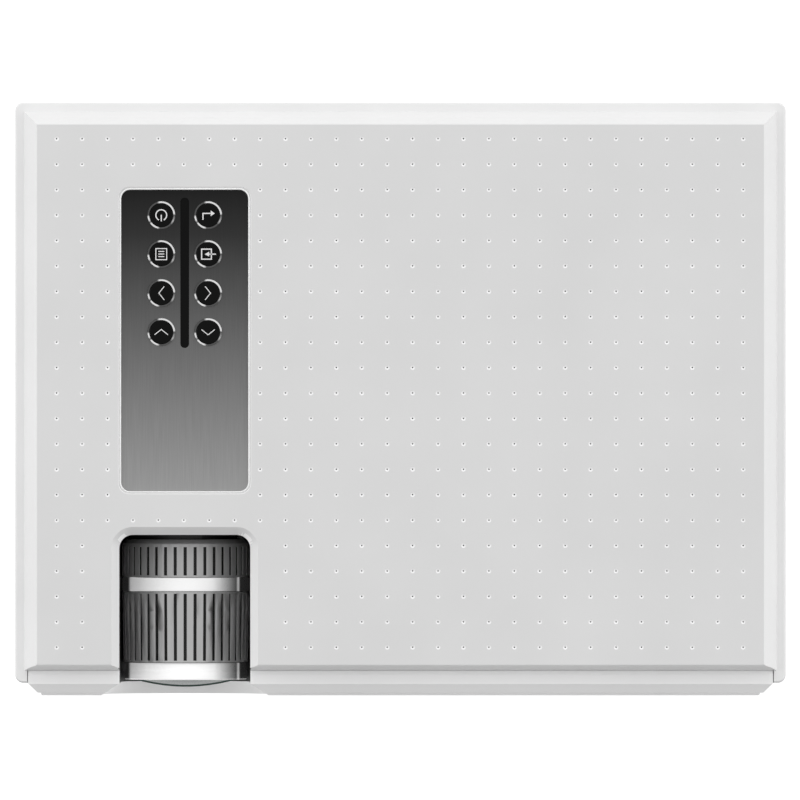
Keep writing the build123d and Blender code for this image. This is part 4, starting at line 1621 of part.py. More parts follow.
def disc_tray():
    """Tray: disc recess, spindle hole and pickup window above, side skirts with rail grooves below."""
    y0, y1 = TRAY_FRONT_Y, TRAY_BACK_Y
    above, below = TRAY_TOP + CUT, TRAY_FLOOR_UNDER - CUT
    tray = block(DRIVE_X - TRAY_HALF, DRIVE_X + TRAY_HALF, y0, y1, TRAY_BOTTOM, TRAY_TOP)
    inner, end = TRAY_HALF - SKIRT, TRAY_END_WALL
    tray -= block(DRIVE_X - inner, DRIVE_X + inner, y0 + end, y1 - end, TRAY_BOTTOM - CUT, TRAY_FLOOR_UNDER)
    tray -= disc(RECESS_RADIUS, DRIVE_X, DISC_Y, DISC_SEAT, above)
    # the data area lies a little lower than the rim that the disc sits on
    tray -= disc(DISC_RADIUS - DATA_STEP, DRIVE_X, DISC_Y, DISC_SEAT - DATA_DEPTH, above)
    tray -= disc(PLATTER_RADIUS + HUB_GAP, DRIVE_X, DISC_Y, below, above)
    window_y = DISC_Y + WINDOW_LENGTH / 2
    tray -= slab(WINDOW_WIDTH, WINDOW_LENGTH, BAY_CORNER, DRIVE_X, window_y, below, above)
    groove = RAIL_FIT
    for side in (-1, 1):
        xa, xb = sorted((DRIVE_X + side * (RAIL_INNER - groove), DRIVE_X + side * (TRAY_HALF + CUT)))
        low, high = RAIL_BOTTOM - groove, RAIL_BOTTOM + RAIL_HEIGHT + groove
        tray -= block(xa, xb, RAIL_FRONT_Y - groove, y1 + CUT, low, high)
        # finger notch beside the recess, open to the rim's top
        x = DRIVE_X + side * (RECESS_RADIUS - FINGER_FROM_EDGE)
        tray -= disc(FINGER_RADIUS, x, y0 + FINGER_FROM_FRONT, DISC_SEAT, above)
    for x, y in traverse_posts():
        tray += disc(TRAVERSE_POST_RADIUS, x, y, TRAVERSE_TOP, TRAY_FLOOR_UNDER + BOND)
    return tray


def traverse_posts():
    """Posts under the tray that the traverse plate is screwed to."""
    return [(DRIVE_X + dx, DISC_Y + dy) for dx in TRAVERSE_POSTS_X for dy in TRAVERSE_POSTS_Y]


def rod_places():
    """The guide rods' X."""
    return (DRIVE_X - ROD_SPACING / 2, DRIVE_X + ROD_SPACING / 2)


def bearing(x, y, bore):
    """A block on the traverse plate with a hole along Y."""
    half = HOLDER_HALF
    holder = block(x - half, x + half, y, y + half, TRAVERSE_TOP - RUNNING_FIT, ROD_HEIGHT + HOLDER_RISE)
    return holder - bar_y(bore, x, ROD_HEIGHT, y - CUT, y + half + CUT)


def traverse_plate():
    """Steel plate under the tray with the bearings of the guide rods and the lead screw."""
    x0, x1 = DRIVE_X + TRAVERSE_POSTS_X[0] - POST_MARGIN, DRIVE_X + TRAVERSE_POSTS_X[1] + POST_MARGIN
    y0, y1 = DISC_Y + TRAVERSE_POSTS_Y[0] - POST_MARGIN, ROD_END_Y + HOLDER_HALF
    y1 = max(y1, DISC_Y + TRAVERSE_POSTS_Y[1] + POST_MARGIN)
    plate = block(x0, x1, y0, y1, TRAVERSE_BOTTOM, TRAVERSE_TOP)
    for x in rod_places():
        for y in (DISC_Y + ROD_START, ROD_END_Y):
            plate += bearing(x, y, ROD_RADIUS + ROD_SEAT_FIT)
    return plate + bearing(SCREW_ROD_X, ROD_END_Y, SCREW_ROD_RADIUS + SHAFT_FIT)


def guide_rods():
    """Two rods that the pickup slides on."""
    y0, y1 = DISC_Y + ROD_START, ROD_END_Y + HOLDER_HALF
    return group([bar_y(ROD_RADIUS, x, ROD_HEIGHT, y0, y1) for x in rod_places()])


def drive_motors():
    """Spindle motor and the small motor that turns the lead screw, both on the traverse plate."""
    top = TRAY_FLOOR_UNDER - HUB_DROP - PANEL_FIT
    spindle = disc(SPINDLE_MOTOR_RADIUS, DRIVE_X, DISC_Y, TRAVERSE_TOP, top)
    spindle -= disc(SPINDLE_SHAFT_RADIUS + SHAFT_FIT, DRIVE_X, DISC_Y, TRAVERSE_TOP + SHEET, top + CUT)
    back = DISC_Y + SLED_MOTOR_PAST
    sled = bar_y(SLED_MOTOR_RADIUS, SCREW_ROD_X, ROD_HEIGHT, back - SLED_MOTOR_LENGTH, back)
    sled -= bar_y(SCREW_ROD_RADIUS + SHAFT_FIT, SCREW_ROD_X, ROD_HEIGHT, back - SLED_MOTOR_PAST, back + CUT)
    return group([spindle, sled])


def spindle_hub():
    """Turntable with the centring boss and three catch noses that grip the disc's hole."""
    seat = DISC_SEAT + HUB_RISE
    hub = disc(PLATTER_RADIUS, DRIVE_X, DISC_Y, TRAY_FLOOR_UNDER - HUB_DROP, seat)
    boss = disc(DISC_HOLE_RADIUS - BOSS_FIT, DRIVE_X, DISC_Y, seat - BOSS_FIT, seat + BOSS_RISE)
    hub += chamfer(boss.edges().group_by(Axis.Z)[-1], BOSS_BEVEL)
    nose_z = seat + BOSS_RISE - BOSS_BEVEL - BOSS_FIT
    nose = Pos(DISC_HOLE_RADIUS - NOSE_RADIUS, 0, nose_z) * Sphere(NOSE_RADIUS)
    for i in range(NOSE_COUNT):
        hub += Pos(DRIVE_X, DISC_Y, 0) * Rot(0, 0, 360 / NOSE_COUNT * i) * nose
    shaft = disc(SPINDLE_SHAFT_RADIUS, DRIVE_X, DISC_Y, TRAVERSE_TOP + SHEET + RING_GAP, TRAY_FLOOR_UNDER)
    return hub + shaft


def pickup_sled():
    """Optical pickup on its two rods, with the objective and the nut on the lead screw."""
    y = DISC_Y + SLED_FROM_HUB
    y0, y1 = y - SLED_LENGTH / 2, y + SLED_LENGTH / 2
    z0, z1 = SLED_BOTTOM, SLED_BOTTOM + SLED_HEIGHT
    left, right = rod_places()
    sled = block(left - SLED_ARM, SCREW_ROD_X + SLED_ARM, y0, y1, z0, z1)
    head = HEAD_HALF
    sled += block(DRIVE_X - head, DRIVE_X + head, y0 + CUT, y1 - CUT, z1 - BOND, TRAY_FLOOR_UNDER + BOND)
    sled += disc(OBJECTIVE_RADIUS, DRIVE_X, y + OBJECTIVE_BACK, TRAY_FLOOR_UNDER, DISC_SEAT - DATA_DEPTH)
    for x in (left, right):
        sled -= bar_y(ROD_RADIUS + RUNNING_FIT, x, ROD_HEIGHT, y0 - CUT, y1 + CUT)
    return sled - bar_y(SCREW_ROD_RADIUS + RUNNING_FIT, SCREW_ROD_X, ROD_HEIGHT, y0 - CUT, y1 + CUT)


def lead_screw():
    """Lead screw of the pickup sled, from its motor to the far bearing."""
    y0, y1 = DISC_Y + SCREW_START, ROD_END_Y + HOLDER_HALF - RING_GAP
    return bar_y(SCREW_ROD_RADIUS, SCREW_ROD_X, ROD_HEIGHT, y0, y1)


def tray_bezel():
    """Tray's front, flush with the front panel, with the eject button's opening and the release pinhole."""
    y0, y1 = BEZEL_FACE_Y, TRAY_FRONT_Y
    bezel = block(DRIVE_X - BEZEL_HALF, DRIVE_X + BEZEL_HALF, y0, y1, BEZEL_BOTTOM, BEZEL_TOP)
    bezel = chamfer(bezel.edges().group_by(Axis.Y)[0], BEZEL_BEVEL)
    bezel -= eject_block(0, y0 - CUT, y1 + CUT)
    bezel -= eject_block(EJECT_FLANGE_WIDE + EJECT_FIT, y0 + BEZEL_POCKET, y1 + CUT)
    pinhole_x = EJECT_X - PINHOLE_FROM_EJECT
    return bezel - bar_y(PINHOLE_RADIUS, pinhole_x, BEZEL_MIDDLE, y0 - CUT, y0 + PINHOLE_DEPTH)


def eject_block(grow, y0, y1):
    """A block on the eject button's place, between two places along Y."""
    half, tall = EJECT_WIDTH / 2 + grow, EJECT_HEIGHT / 2 + grow
    return block(EJECT_X - half, EJECT_X + half, y0, y1, BEZEL_MIDDLE - tall, BEZEL_MIDDLE + tall)


def eject_button():
    """Eject button with the flange that keeps it in the bezel."""
    start = BEZEL_FACE_Y + BEZEL_POCKET + RUNNING_FIT
    head = eject_block(-EJECT_FIT, BEZEL_FACE_Y - EJECT_PROUD, start + EJECT_FLANGE / 2)
    head = chamfer(head.edges().group_by(Axis.Y)[0], EJECT_BEVEL)
    return head + eject_block(EJECT_FLANGE_WIDE, start, start + EJECT_FLANGE)


# ---------------------------------------------------------------------------------- write the nodes
def nodes():
    """Every node's name and shape."""
    built = {
        "bottom_case": bottom_case(),
        "top_cover": top_cover(),
        "front_panel": front_panel(),
        "rear_panel": rear_panel(),
        "side_grilles": side_grilles(),
        "speaker_grille": speaker_grille(),
        "control_plate": control_plate(),
        "button_rings": button_rings(),
        "indicator_strip": indicator_strip(),
        "key_board": key_board(),
        "rubber_feet": rubber_feet(),
        "case_screws": case_screws(),
        "tripod_insert": tripod_insert(),
        "tilt_foot_pad": tilt_foot_pad(),
        "tilt_foot_screw": tilt_foot_screw(),
        "lens_cradle": lens_cradle(),
        "lens_mount": lens_mount(),
        "lens_band": lens_band(),
        "keystone_ring": keystone_ring(),
        "focus_ring": focus_ring(),
        "lens_barrel": lens_barrel(),
        "lens_trim_ring": lens_trim_ring(),
        "lens_glass": lens_glass(),
        "engine_housing": engine_housing(),
        "engine_lid": engine_lid(),
        "lcd_frame": lcd_frame(),
        "lcd_panel": lcd_panel(),
        "light_lenses": light_lenses(),
        "reflector": reflector(),
        "lamp_module": lamp_module(),
        "heat_sink": heat_sink(),
        "fan_frame": fan_frame(),
        "fan_rotor": fan_rotor(),
        "main_board": main_board(),
        "power_board": power_board(),
        "port_sockets": port_sockets(),
        "audio_jacks": audio_jacks(),
        "mains_inlet": mains_inlet(),
        "speakers": speakers(),
        "drive_bracket": drive_bracket(),
        "drive_base": drive_base(),
        "drive_lid": drive_lid(),
        "tray_rails": tray_rails(),
        "disc_tray": disc_tray(),
        "tray_bezel": tray_bezel(),
        "traverse_plate": traverse_plate(),
        "guide_rods": guide_rods(),
        "drive_motors": drive_motors(),
        "spindle_hub": spindle_hub(),
        "pickup_sled": pickup_sled(),
        "lead_screw": lead_screw(),
        "eject_button": eject_button(),
    }
    for name, x, y in button_places():
        built[name] = button(x, y)
    return built


os.makedirs("parts", exist_ok=True)
for node, shape in nodes().items():
    export_step(shape, f"parts/{node}.step")
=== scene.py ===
import json
import math
import bmesh
import bpy
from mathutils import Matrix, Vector
from mathutils.geometry import delaunay_2d_cdt


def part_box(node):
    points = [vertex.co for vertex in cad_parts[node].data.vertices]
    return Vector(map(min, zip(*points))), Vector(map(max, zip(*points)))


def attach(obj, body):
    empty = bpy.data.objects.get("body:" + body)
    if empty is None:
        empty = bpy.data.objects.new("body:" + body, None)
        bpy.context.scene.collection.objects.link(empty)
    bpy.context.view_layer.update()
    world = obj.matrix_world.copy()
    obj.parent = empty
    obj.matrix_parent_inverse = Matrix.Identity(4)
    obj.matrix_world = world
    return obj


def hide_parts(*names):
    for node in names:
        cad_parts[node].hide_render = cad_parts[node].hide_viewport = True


# Looks of the projector: finishes for every node, and the fine pieces that the solids leave out.
# Metres; X to the right as the front is looked at, Y to the back, Z up.

MM = 0.001
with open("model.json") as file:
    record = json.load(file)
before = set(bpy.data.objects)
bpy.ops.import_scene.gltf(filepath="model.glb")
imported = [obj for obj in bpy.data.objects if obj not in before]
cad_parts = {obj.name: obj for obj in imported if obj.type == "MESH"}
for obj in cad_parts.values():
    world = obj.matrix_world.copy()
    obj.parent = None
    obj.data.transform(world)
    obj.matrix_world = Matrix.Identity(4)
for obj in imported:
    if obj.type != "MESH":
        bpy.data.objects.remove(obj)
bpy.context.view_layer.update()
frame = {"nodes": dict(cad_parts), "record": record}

# ---------------------------------------------------------------------------------- values
# dots moulded into the top face
DOT_PITCH = 9.39 * MM
DOT_COLUMNS = 28
DOT_ROWS = 21
DOT_FIRST_X = -126.98 * MM
DOT_FIRST_Y = 96.11 * MM
DOT_MARGIN = 2.2 * MM  # from a dot's centre to the nearest edge of the flat face
DOT_RADIUS = 0.86 * MM  # at the top of its cone
DOT_RIM = 0.24 * MM  # radius of the pinhole at the bottom of the cone
DOT_SINK = 0.22 * MM  # depth of the cone
DOT_HOLE = 0.8 * MM  # depth of the pinhole
DOT_SIDES = 16

# numbers of the top cover's finishes; several carry painted light: lighter copies of the shell's white on
# slopes, rim, bay lip and dot cones, and black as painted shade in the pinholes and deep in the lens bay
COVER_SLOTS = ("upper_shell", "dot_white", "dot_shadow", "dark_plastic", "slope", "bay_lip", "rim")
FACE, CONE, PINHOLE, BAY_PAINTED_SHADE, SLOPE, LIP, RIM = range(len(COVER_SLOTS))
LEVEL = 0.98  # upward part of the normal of a face that counts as level
EVEN = 0.999  # the same for the flat top itself

# lens bay: its walls, black below the lip as painted shade, and the lip round its top edge, whiter than the
# shell as a painted highlight
BAY_WALL = 2.2 * MM
BAY_LIP = 2.9 * MM
BAY_FIT = 0.15 * MM

# grip rings: radius over the grooves' floors, and the ribs' length behind the bright band
GROOVE_RADIUS = {"keystone_ring": 23.2 * MM, "focus_ring": 22.7 * MM}
KEYSTONE_RIBS = 11.4 * MM
RING_PAINT = (0.6, 0.6, 0.6)
# painted shade: near-black on the grooves' floors
GROOVE_PAINTED_SHADE = (0.006, 0.006, 0.006)

# bright bead round the control plate
BEAD_WIDTH = 0.75 * MM
BEAD_RISE = 0.55 * MM
BEAD_FIT = 0.05 * MM  # between plate and bead
BEAD_SINK = 0.02 * MM  # its crest below the top face
PLATE_CORNER = 3.3 * MM
BEAD_PROFILE = ((0.0, -1.0), (0.1, -0.25), (0.4, 0.0), (0.7, -0.2), (1.0, -1.0))  # shares of width and rise

# pictograms on the buttons
GLYPH_RISE = 0.05 * MM
GLYPH_LINE = 0.42 * MM
GLYPH_FINE = 0.3 * MM

# softened edges
RING_EDGE = 0.12 * MM
CASE_EDGE = 0.15 * MM
EDGE_ANGLE = 35.0

# camera and light
PIXEL = 0.36965 * MM  # at the height of the rim
PHOTO_SIZE = 800
PHOTO_X, PHOTO_Y = 400.5, 399.0  # photograph's pixel over the origin
CAMERA_LENS = 900.0
RIM_BELOW_TOP = 7.0 * MM
FLOOR_GLOW = 0.8
LAMP_SIZE = (1.6, 0.7)
LAMP_AIM = (0.0, 0.0, 0.05)
LAMPS = (("back", (0.0, 1.93, 0.62), 7), ("left", (-1.93, 0.0, 0.62), 12), ("right", (1.93, 0.0, 0.62), 12))
WORLD_TONES = ((0.0, 0.25), (0.5, 0.4), (1.0, 1.0))  # from the front to the back


# ---------------------------------------------------------------------------------- material nodes
def new_material(name):
    material = bpy.data.materials.new(name)
    material.use_nodes = True
    tree = material.node_tree
    return material, tree.nodes, tree.links, tree.nodes["Principled BSDF"]


def coordinates(nodes, links, stretch=(1, 1, 1)):
    """Object coordinates in metres, stretched along the axes."""
    place = nodes.new("ShaderNodeTexCoord")
    mapping = nodes.new("ShaderNodeMapping")
    mapping.inputs["Scale"].default_value = stretch
    links.new(place.outputs["Object"], mapping.inputs["Vector"])
    return mapping.outputs["Vector"]


def along_axis(nodes, links, axis, low, high):
    """0 to 1 between two places on an axis of the object."""
    place = nodes.new("ShaderNodeTexCoord")
    axes = nodes.new("ShaderNodeSeparateXYZ")
    links.new(place.outputs["Object"], axes.inputs["Vector"])
    span = nodes.new("ShaderNodeMapRange")
    span.inputs["From Min"].default_value = low
    span.inputs["From Max"].default_value = high
    links.new(axes.outputs[axis], span.inputs["Value"])
    return span.outputs["Result"]


def greys(*pairs):
    """Stops of a ramp from (position, grey) pairs."""
    return [(position, (grey, grey, grey)) for position, grey in pairs]


def noise(nodes, links, vector, scale, detail=2.0):
    texture = nodes.new("ShaderNodeTexNoise")
    texture.inputs["Scale"].default_value = scale
    texture.inputs["Detail"].default_value = detail
    links.new(vector, texture.inputs["Vector"])
    return texture.outputs["Fac"]


def spread(nodes, links, value, low, high):
    """Maps a 0-1 value to low-high."""
    span = nodes.new("ShaderNodeMapRange")
    span.inputs["From Min"].default_value = 0.3
    span.inputs["From Max"].default_value = 0.7
    span.inputs["To Min"].default_value = low
    span.inputs["To Max"].default_value = high
    links.new(value, span.inputs["Value"])
    return span.outputs["Result"]


def ramp(nodes, links, value, stops):
    """Colour ramp from (position, colour) pairs."""
    node = nodes.new("ShaderNodeValToRGB")
    elements = node.color_ramp.elements
    while len(elements) < len(stops):
        elements.new(0.5)
    for element, (position, colour) in zip(elements, stops):
        element.position = position
        element.color = (*colour, 1)
    links.new(value, node.inputs["Fac"])
    return node.outputs["Color"]


def bump(nodes, links, shader, height, distance):
    node = nodes.new("ShaderNodeBump")
    node.inputs["Distance"].default_value = distance
    node.inputs["Strength"].default_value = 1.0
    links.new(height, node.inputs["Height"])
    links.new(node.outputs["Normal"], shader.inputs["Normal"])


def shade(colour, factor):
    return tuple(min(1.0, c * factor) for c in colour)


def moulded(name, colour, roughness=0.4, grain=2600.0, depth=0.006, tone=0.02, coat=0.0, gloss=0.5):
    """Moulded plastic, rubber or paint: fine grain, patches of polish and a slight change of tone."""
    material, nodes, links, shader = new_material(name)
    vector = coordinates(nodes, links)
    patches = noise(nodes, links, vector, 22.0, 3.0)
    stops = [(0.3, shade(colour, 1 - tone)), (0.7, shade(colour, 1 + tone))]
    links.new(ramp(nodes, links, patches, stops), shader.inputs["Base Color"])
    polish = noise(nodes, links, vector, 90.0, 4.0)
    rough = spread(nodes, links, polish, roughness * 0.88, roughness * 1.12)
    links.new(rough, shader.inputs["Roughness"])
    shader.inputs["Specular IOR Level"].default_value = gloss
    shader.inputs["Coat Weight"].default_value = coat
    shader.inputs["Coat Roughness"].default_value = 0.06
    bump(nodes, links, shader, noise(nodes, links, vector, grain, 2.0), depth * MM)
    return material


def metal(name, colour, roughness=0.25, stretch=(1, 1, 1), scale=900.0, depth=0.004, tone=0.05):
    """Metal with its grain stretched along one axis."""
    material, nodes, links, shader = new_material(name)
    vector = coordinates(nodes, links, stretch)
    grain = noise(nodes, links, vector, scale, 3.0)
    stops = [(0.3, shade(colour, 1 - tone)), (0.7, shade(colour, 1 + tone))]
    links.new(ramp(nodes, links, grain, stops), shader.inputs["Base Color"])
    links.new(spread(nodes, links, grain, roughness * 0.7, roughness * 1.3), shader.inputs["Roughness"])
    shader.inputs["Metallic"].default_value = 1.0
    bump(nodes, links, shader, grain, depth * MM)
    return material


def lens_silver_painted_shading():
    """Satin silver-plated lens band with painted shading, a painted highlight and a painted glow: white on
    top and darkening down its right side to a bright line, with its colour also fed to emission.
    """
    material, nodes, links, shader = new_material("lens_silver_painted_shading")
    low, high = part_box("lens_band")
    # painted shading and highlight across X: dark edges, a white middle, darkening on the right to a bright
    # painted line
    stops = greys((0.0, 0.03), (0.05, 0.03), (0.07, 0.85), (0.2, 0.97), (0.72, 0.97), (0.8, 0.6), (0.9, 0.12),
                  (0.915, 0.9), (0.93, 0.04), (1.0, 0.03))
    painted_shading = ramp(nodes, links, along_axis(nodes, links, "X", low.x, high.x), stops)
    links.new(painted_shading, shader.inputs["Base Color"])
    # painted glow: the same shaded colour also lights the band as emission
    links.new(painted_shading, shader.inputs["Emission Color"])
    shader.inputs["Emission Strength"].default_value = 0.35
    grain = noise(nodes, links, coordinates(nodes, links), 1600.0, 2.0)
    links.new(spread(nodes, links, grain, 0.26, 0.32), shader.inputs["Roughness"])
    bump(nodes, links, shader, grain, 0.0002 * MM)
    return material


def ring_painted_reflection():
    """Plated rings round the buttons with a painted reflection: dark, with bright arcs towards the upper
    right and the lower left.
    """
    material, nodes, links, shader = new_material("button_ring_painted_reflection")
    place = nodes.new("ShaderNodeTexCoord")
    offset = nodes.new("ShaderNodeVectorMath")
    offset.operation = "SUBTRACT"
    first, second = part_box("up_button"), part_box("right_button")
    centre = (first[0] + first[1]) / 2
    pitch = (second[0] + second[1]) / 2 - centre
    offset.inputs[1].default_value = (centre.x - pitch.x / 2, centre.y - pitch.y / 2, 0)
    links.new(place.outputs["Object"], offset.inputs[0])
    axes = nodes.new("ShaderNodeSeparateXYZ")
    links.new(offset.outputs["Vector"], axes.inputs["Vector"])
    turn = nodes.new("ShaderNodeMath")
    turn.operation = "ARCTAN2"
    for axis, step, socket in (("Y", pitch.y, 0), ("X", pitch.x, 1)):
        cell = nodes.new("ShaderNodeMath")
        cell.operation = "FLOORED_MODULO"
        cell.inputs[1].default_value = step
        links.new(axes.outputs[axis], cell.inputs[0])
        middle = nodes.new("ShaderNodeMath")
        middle.operation = "SUBTRACT"
        middle.inputs[1].default_value = step / 2
        links.new(cell.outputs["Value"], middle.inputs[0])
        links.new(middle.outputs["Value"], turn.inputs[socket])
    around = nodes.new("ShaderNodeMapRange")
    around.inputs["From Min"].default_value = -math.pi
    around.inputs["From Max"].default_value = math.pi
    links.new(turn.outputs["Value"], around.inputs["Value"])
    # painted reflection: bright and faint arcs on dark, by the angle round each button's centre
    bright, dark, faint = 0.9, 0.1, 0.5
    stops = greys((0.0, dark), (0.02, bright), (0.06, bright), (0.09, dark), (0.11, bright), (0.2, bright),
                  (0.23, dark), (0.38, dark), (0.42, faint), (0.5, dark), (0.52, bright), (0.77, bright),
                  (0.8, dark))
    links.new(ramp(nodes, links, around.outputs["Result"], stops), shader.inputs["Base Color"])
    polish = noise(nodes, links, coordinates(nodes, links), 900.0, 2.0)
    links.new(spread(nodes, links, polish, 0.1, 0.16), shader.inputs["Roughness"])
    shader.inputs["Metallic"].default_value = 0.9
    return material


def glass(name, colour, coating, transmission=0.9, roughness=0.02, gloss=0.5, coat=0.5, glance=0.5):
    """Coated optical glass: tint and gloss change with the angle, and dust roughens it a little."""
    material, nodes, links, shader = new_material(name)
    vector = coordinates(nodes, links)
    facing = nodes.new("ShaderNodeLayerWeight")
    facing.inputs["Blend"].default_value = 0.4
    stops = [(0.1, colour), (0.9, coating)]
    links.new(ramp(nodes, links, facing.outputs["Facing"], stops), shader.inputs["Base Color"])
    dust = noise(nodes, links, vector, 1500.0, 2.0)
    links.new(spread(nodes, links, dust, roughness, roughness * 3), shader.inputs["Roughness"])
    shader.inputs["IOR"].default_value = 1.52
    shader.inputs["Transmission Weight"].default_value = transmission
    glancing = nodes.new("ShaderNodeMapRange")
    glancing.inputs["From Min"].default_value = 0.5
    glancing.inputs["From Max"].default_value = 0.8
    glancing.inputs["To Min"].default_value = gloss
    glancing.inputs["To Max"].default_value = glance
    links.new(facing.outputs["Facing"], glancing.inputs["Value"])
    links.new(glancing.outputs["Result"], shader.inputs["Specular IOR Level"])
    shader.inputs["Coat Weight"].default_value = coat
    shader.inputs["Coat Roughness"].default_value = 0.02
    return material


def ring_paint_with_groove_shade(node, groove_radius, land):
    """Satin grey paint with painted shade in the grooves: black under that radius and in front of the smooth
    land.
    """
    material, nodes, links, shader = new_material(node + "_paint")
    centre = (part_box("lens_band")[0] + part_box("lens_band")[1]) / 2
    place = nodes.new("ShaderNodeTexCoord")
    offset = nodes.new("ShaderNodeVectorMath")
    offset.operation = "SUBTRACT"
    offset.inputs[1].default_value = centre
    links.new(place.outputs["Object"], offset.inputs[0])
    across = nodes.new("ShaderNodeVectorMath")
    across.operation = "MULTIPLY"
    across.inputs[1].default_value = (1, 0, 1)
    links.new(offset.outputs["Vector"], across.inputs[0])
    radius = nodes.new("ShaderNodeVectorMath")
    radius.operation = "LENGTH"
    links.new(across.outputs["Vector"], radius.inputs[0])
    outside = nodes.new("ShaderNodeMapRange")
    outside.inputs["From Min"].default_value = groove_radius - 0.1 * MM
    outside.inputs["From Max"].default_value = groove_radius + 0.1 * MM
    links.new(radius.outputs["Value"], outside.inputs["Value"])
    axes = nodes.new("ShaderNodeSeparateXYZ")
    links.new(place.outputs["Object"], axes.inputs["Vector"])
    behind = nodes.new("ShaderNodeMath")
    behind.operation = "GREATER_THAN"
    behind.inputs[1].default_value = land
    links.new(axes.outputs["Y"], behind.inputs[0])
    painted = nodes.new("ShaderNodeMath")
    painted.operation = "MAXIMUM"
    links.new(outside.outputs["Result"], painted.inputs[0])
    links.new(behind.outputs["Value"], painted.inputs[1])
    # painted shade: black in the grooves, grey paint elsewhere
    stops = [(0.0, GROOVE_PAINTED_SHADE), (0.5, shade(RING_PAINT, 0.6)), (1.0, RING_PAINT)]
    links.new(ramp(nodes, links, painted.outputs["Value"], stops), shader.inputs["Base Color"])
    vector = coordinates(nodes, links, (1, 0.08, 1))
    grain = noise(nodes, links, vector, 1800.0, 2.0)
    links.new(spread(nodes, links, grain, 0.38, 0.48), shader.inputs["Roughness"])
    shader.inputs["Metallic"].default_value = 0.3
    bump(nodes, links, shader, grain, 0.004 * MM)
    return material


def control_plate_painted_reflection():
    """Gloss plate with a painted reflection: black at the back and fading to grey at the front, with fine
    lengthwise brushing.
    """
    material, nodes, links, shader = new_material("control_plate_painted_gradient")
    low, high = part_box("control_plate")
    # painted reflection: the base colour lightens from the back towards the front
    stops = greys((0.0, 0.34), (0.35, 0.2), (0.62, 0.1), (0.85, 0.03), (1.0, 0.01))
    reflection_gradient = ramp(nodes, links, along_axis(nodes, links, "Y", low.y, high.y), stops)
    fine = noise(nodes, links, coordinates(nodes, links, (1, 0.02, 1)), 3000.0, 2.0)
    mix = nodes.new("ShaderNodeMix")
    mix.data_type = "RGBA"
    mix.blend_type = "MULTIPLY"
    mix.inputs["Factor"].default_value = 1.0
    links.new(reflection_gradient, mix.inputs["A"])
    links.new(ramp(nodes, links, fine, greys((0.3, 0.9), (0.7, 1.0))), mix.inputs["B"])
    links.new(mix.outputs["Result"], shader.inputs["Base Color"])
    links.new(spread(nodes, links, fine, 0.3, 0.42), shader.inputs["Roughness"])
    shader.inputs["Specular IOR Level"].default_value = 0.12
    bump(nodes, links, shader, fine, 0.002 * MM)
    return material


def board_finish():
    """Green board: darker traces in a fine random grid under a glossy lacquer."""
    material, nodes, links, shader = new_material("board_lacquer")
    vector = coordinates(nodes, links)
    cells = nodes.new("ShaderNodeTexBrick")
    cells.inputs["Scale"].default_value = 190.0
    cells.inputs["Mortar Size"].default_value = 0.03
    cells.inputs["Color1"].default_value = (0.012, 0.11, 0.035, 1)
    cells.inputs["Color2"].default_value = (0.02, 0.15, 0.05, 1)
    cells.inputs["Mortar"].default_value = (0.03, 0.24, 0.09, 1)
    links.new(vector, cells.inputs["Vector"])
    links.new(cells.outputs["Color"], shader.inputs["Base Color"])
    rough = noise(nodes, links, vector, 700.0)
    links.new(spread(nodes, links, rough, 0.28, 0.4), shader.inputs["Roughness"])
    bump(nodes, links, shader, cells.outputs["Fac"], 0.03 * MM)
    return material


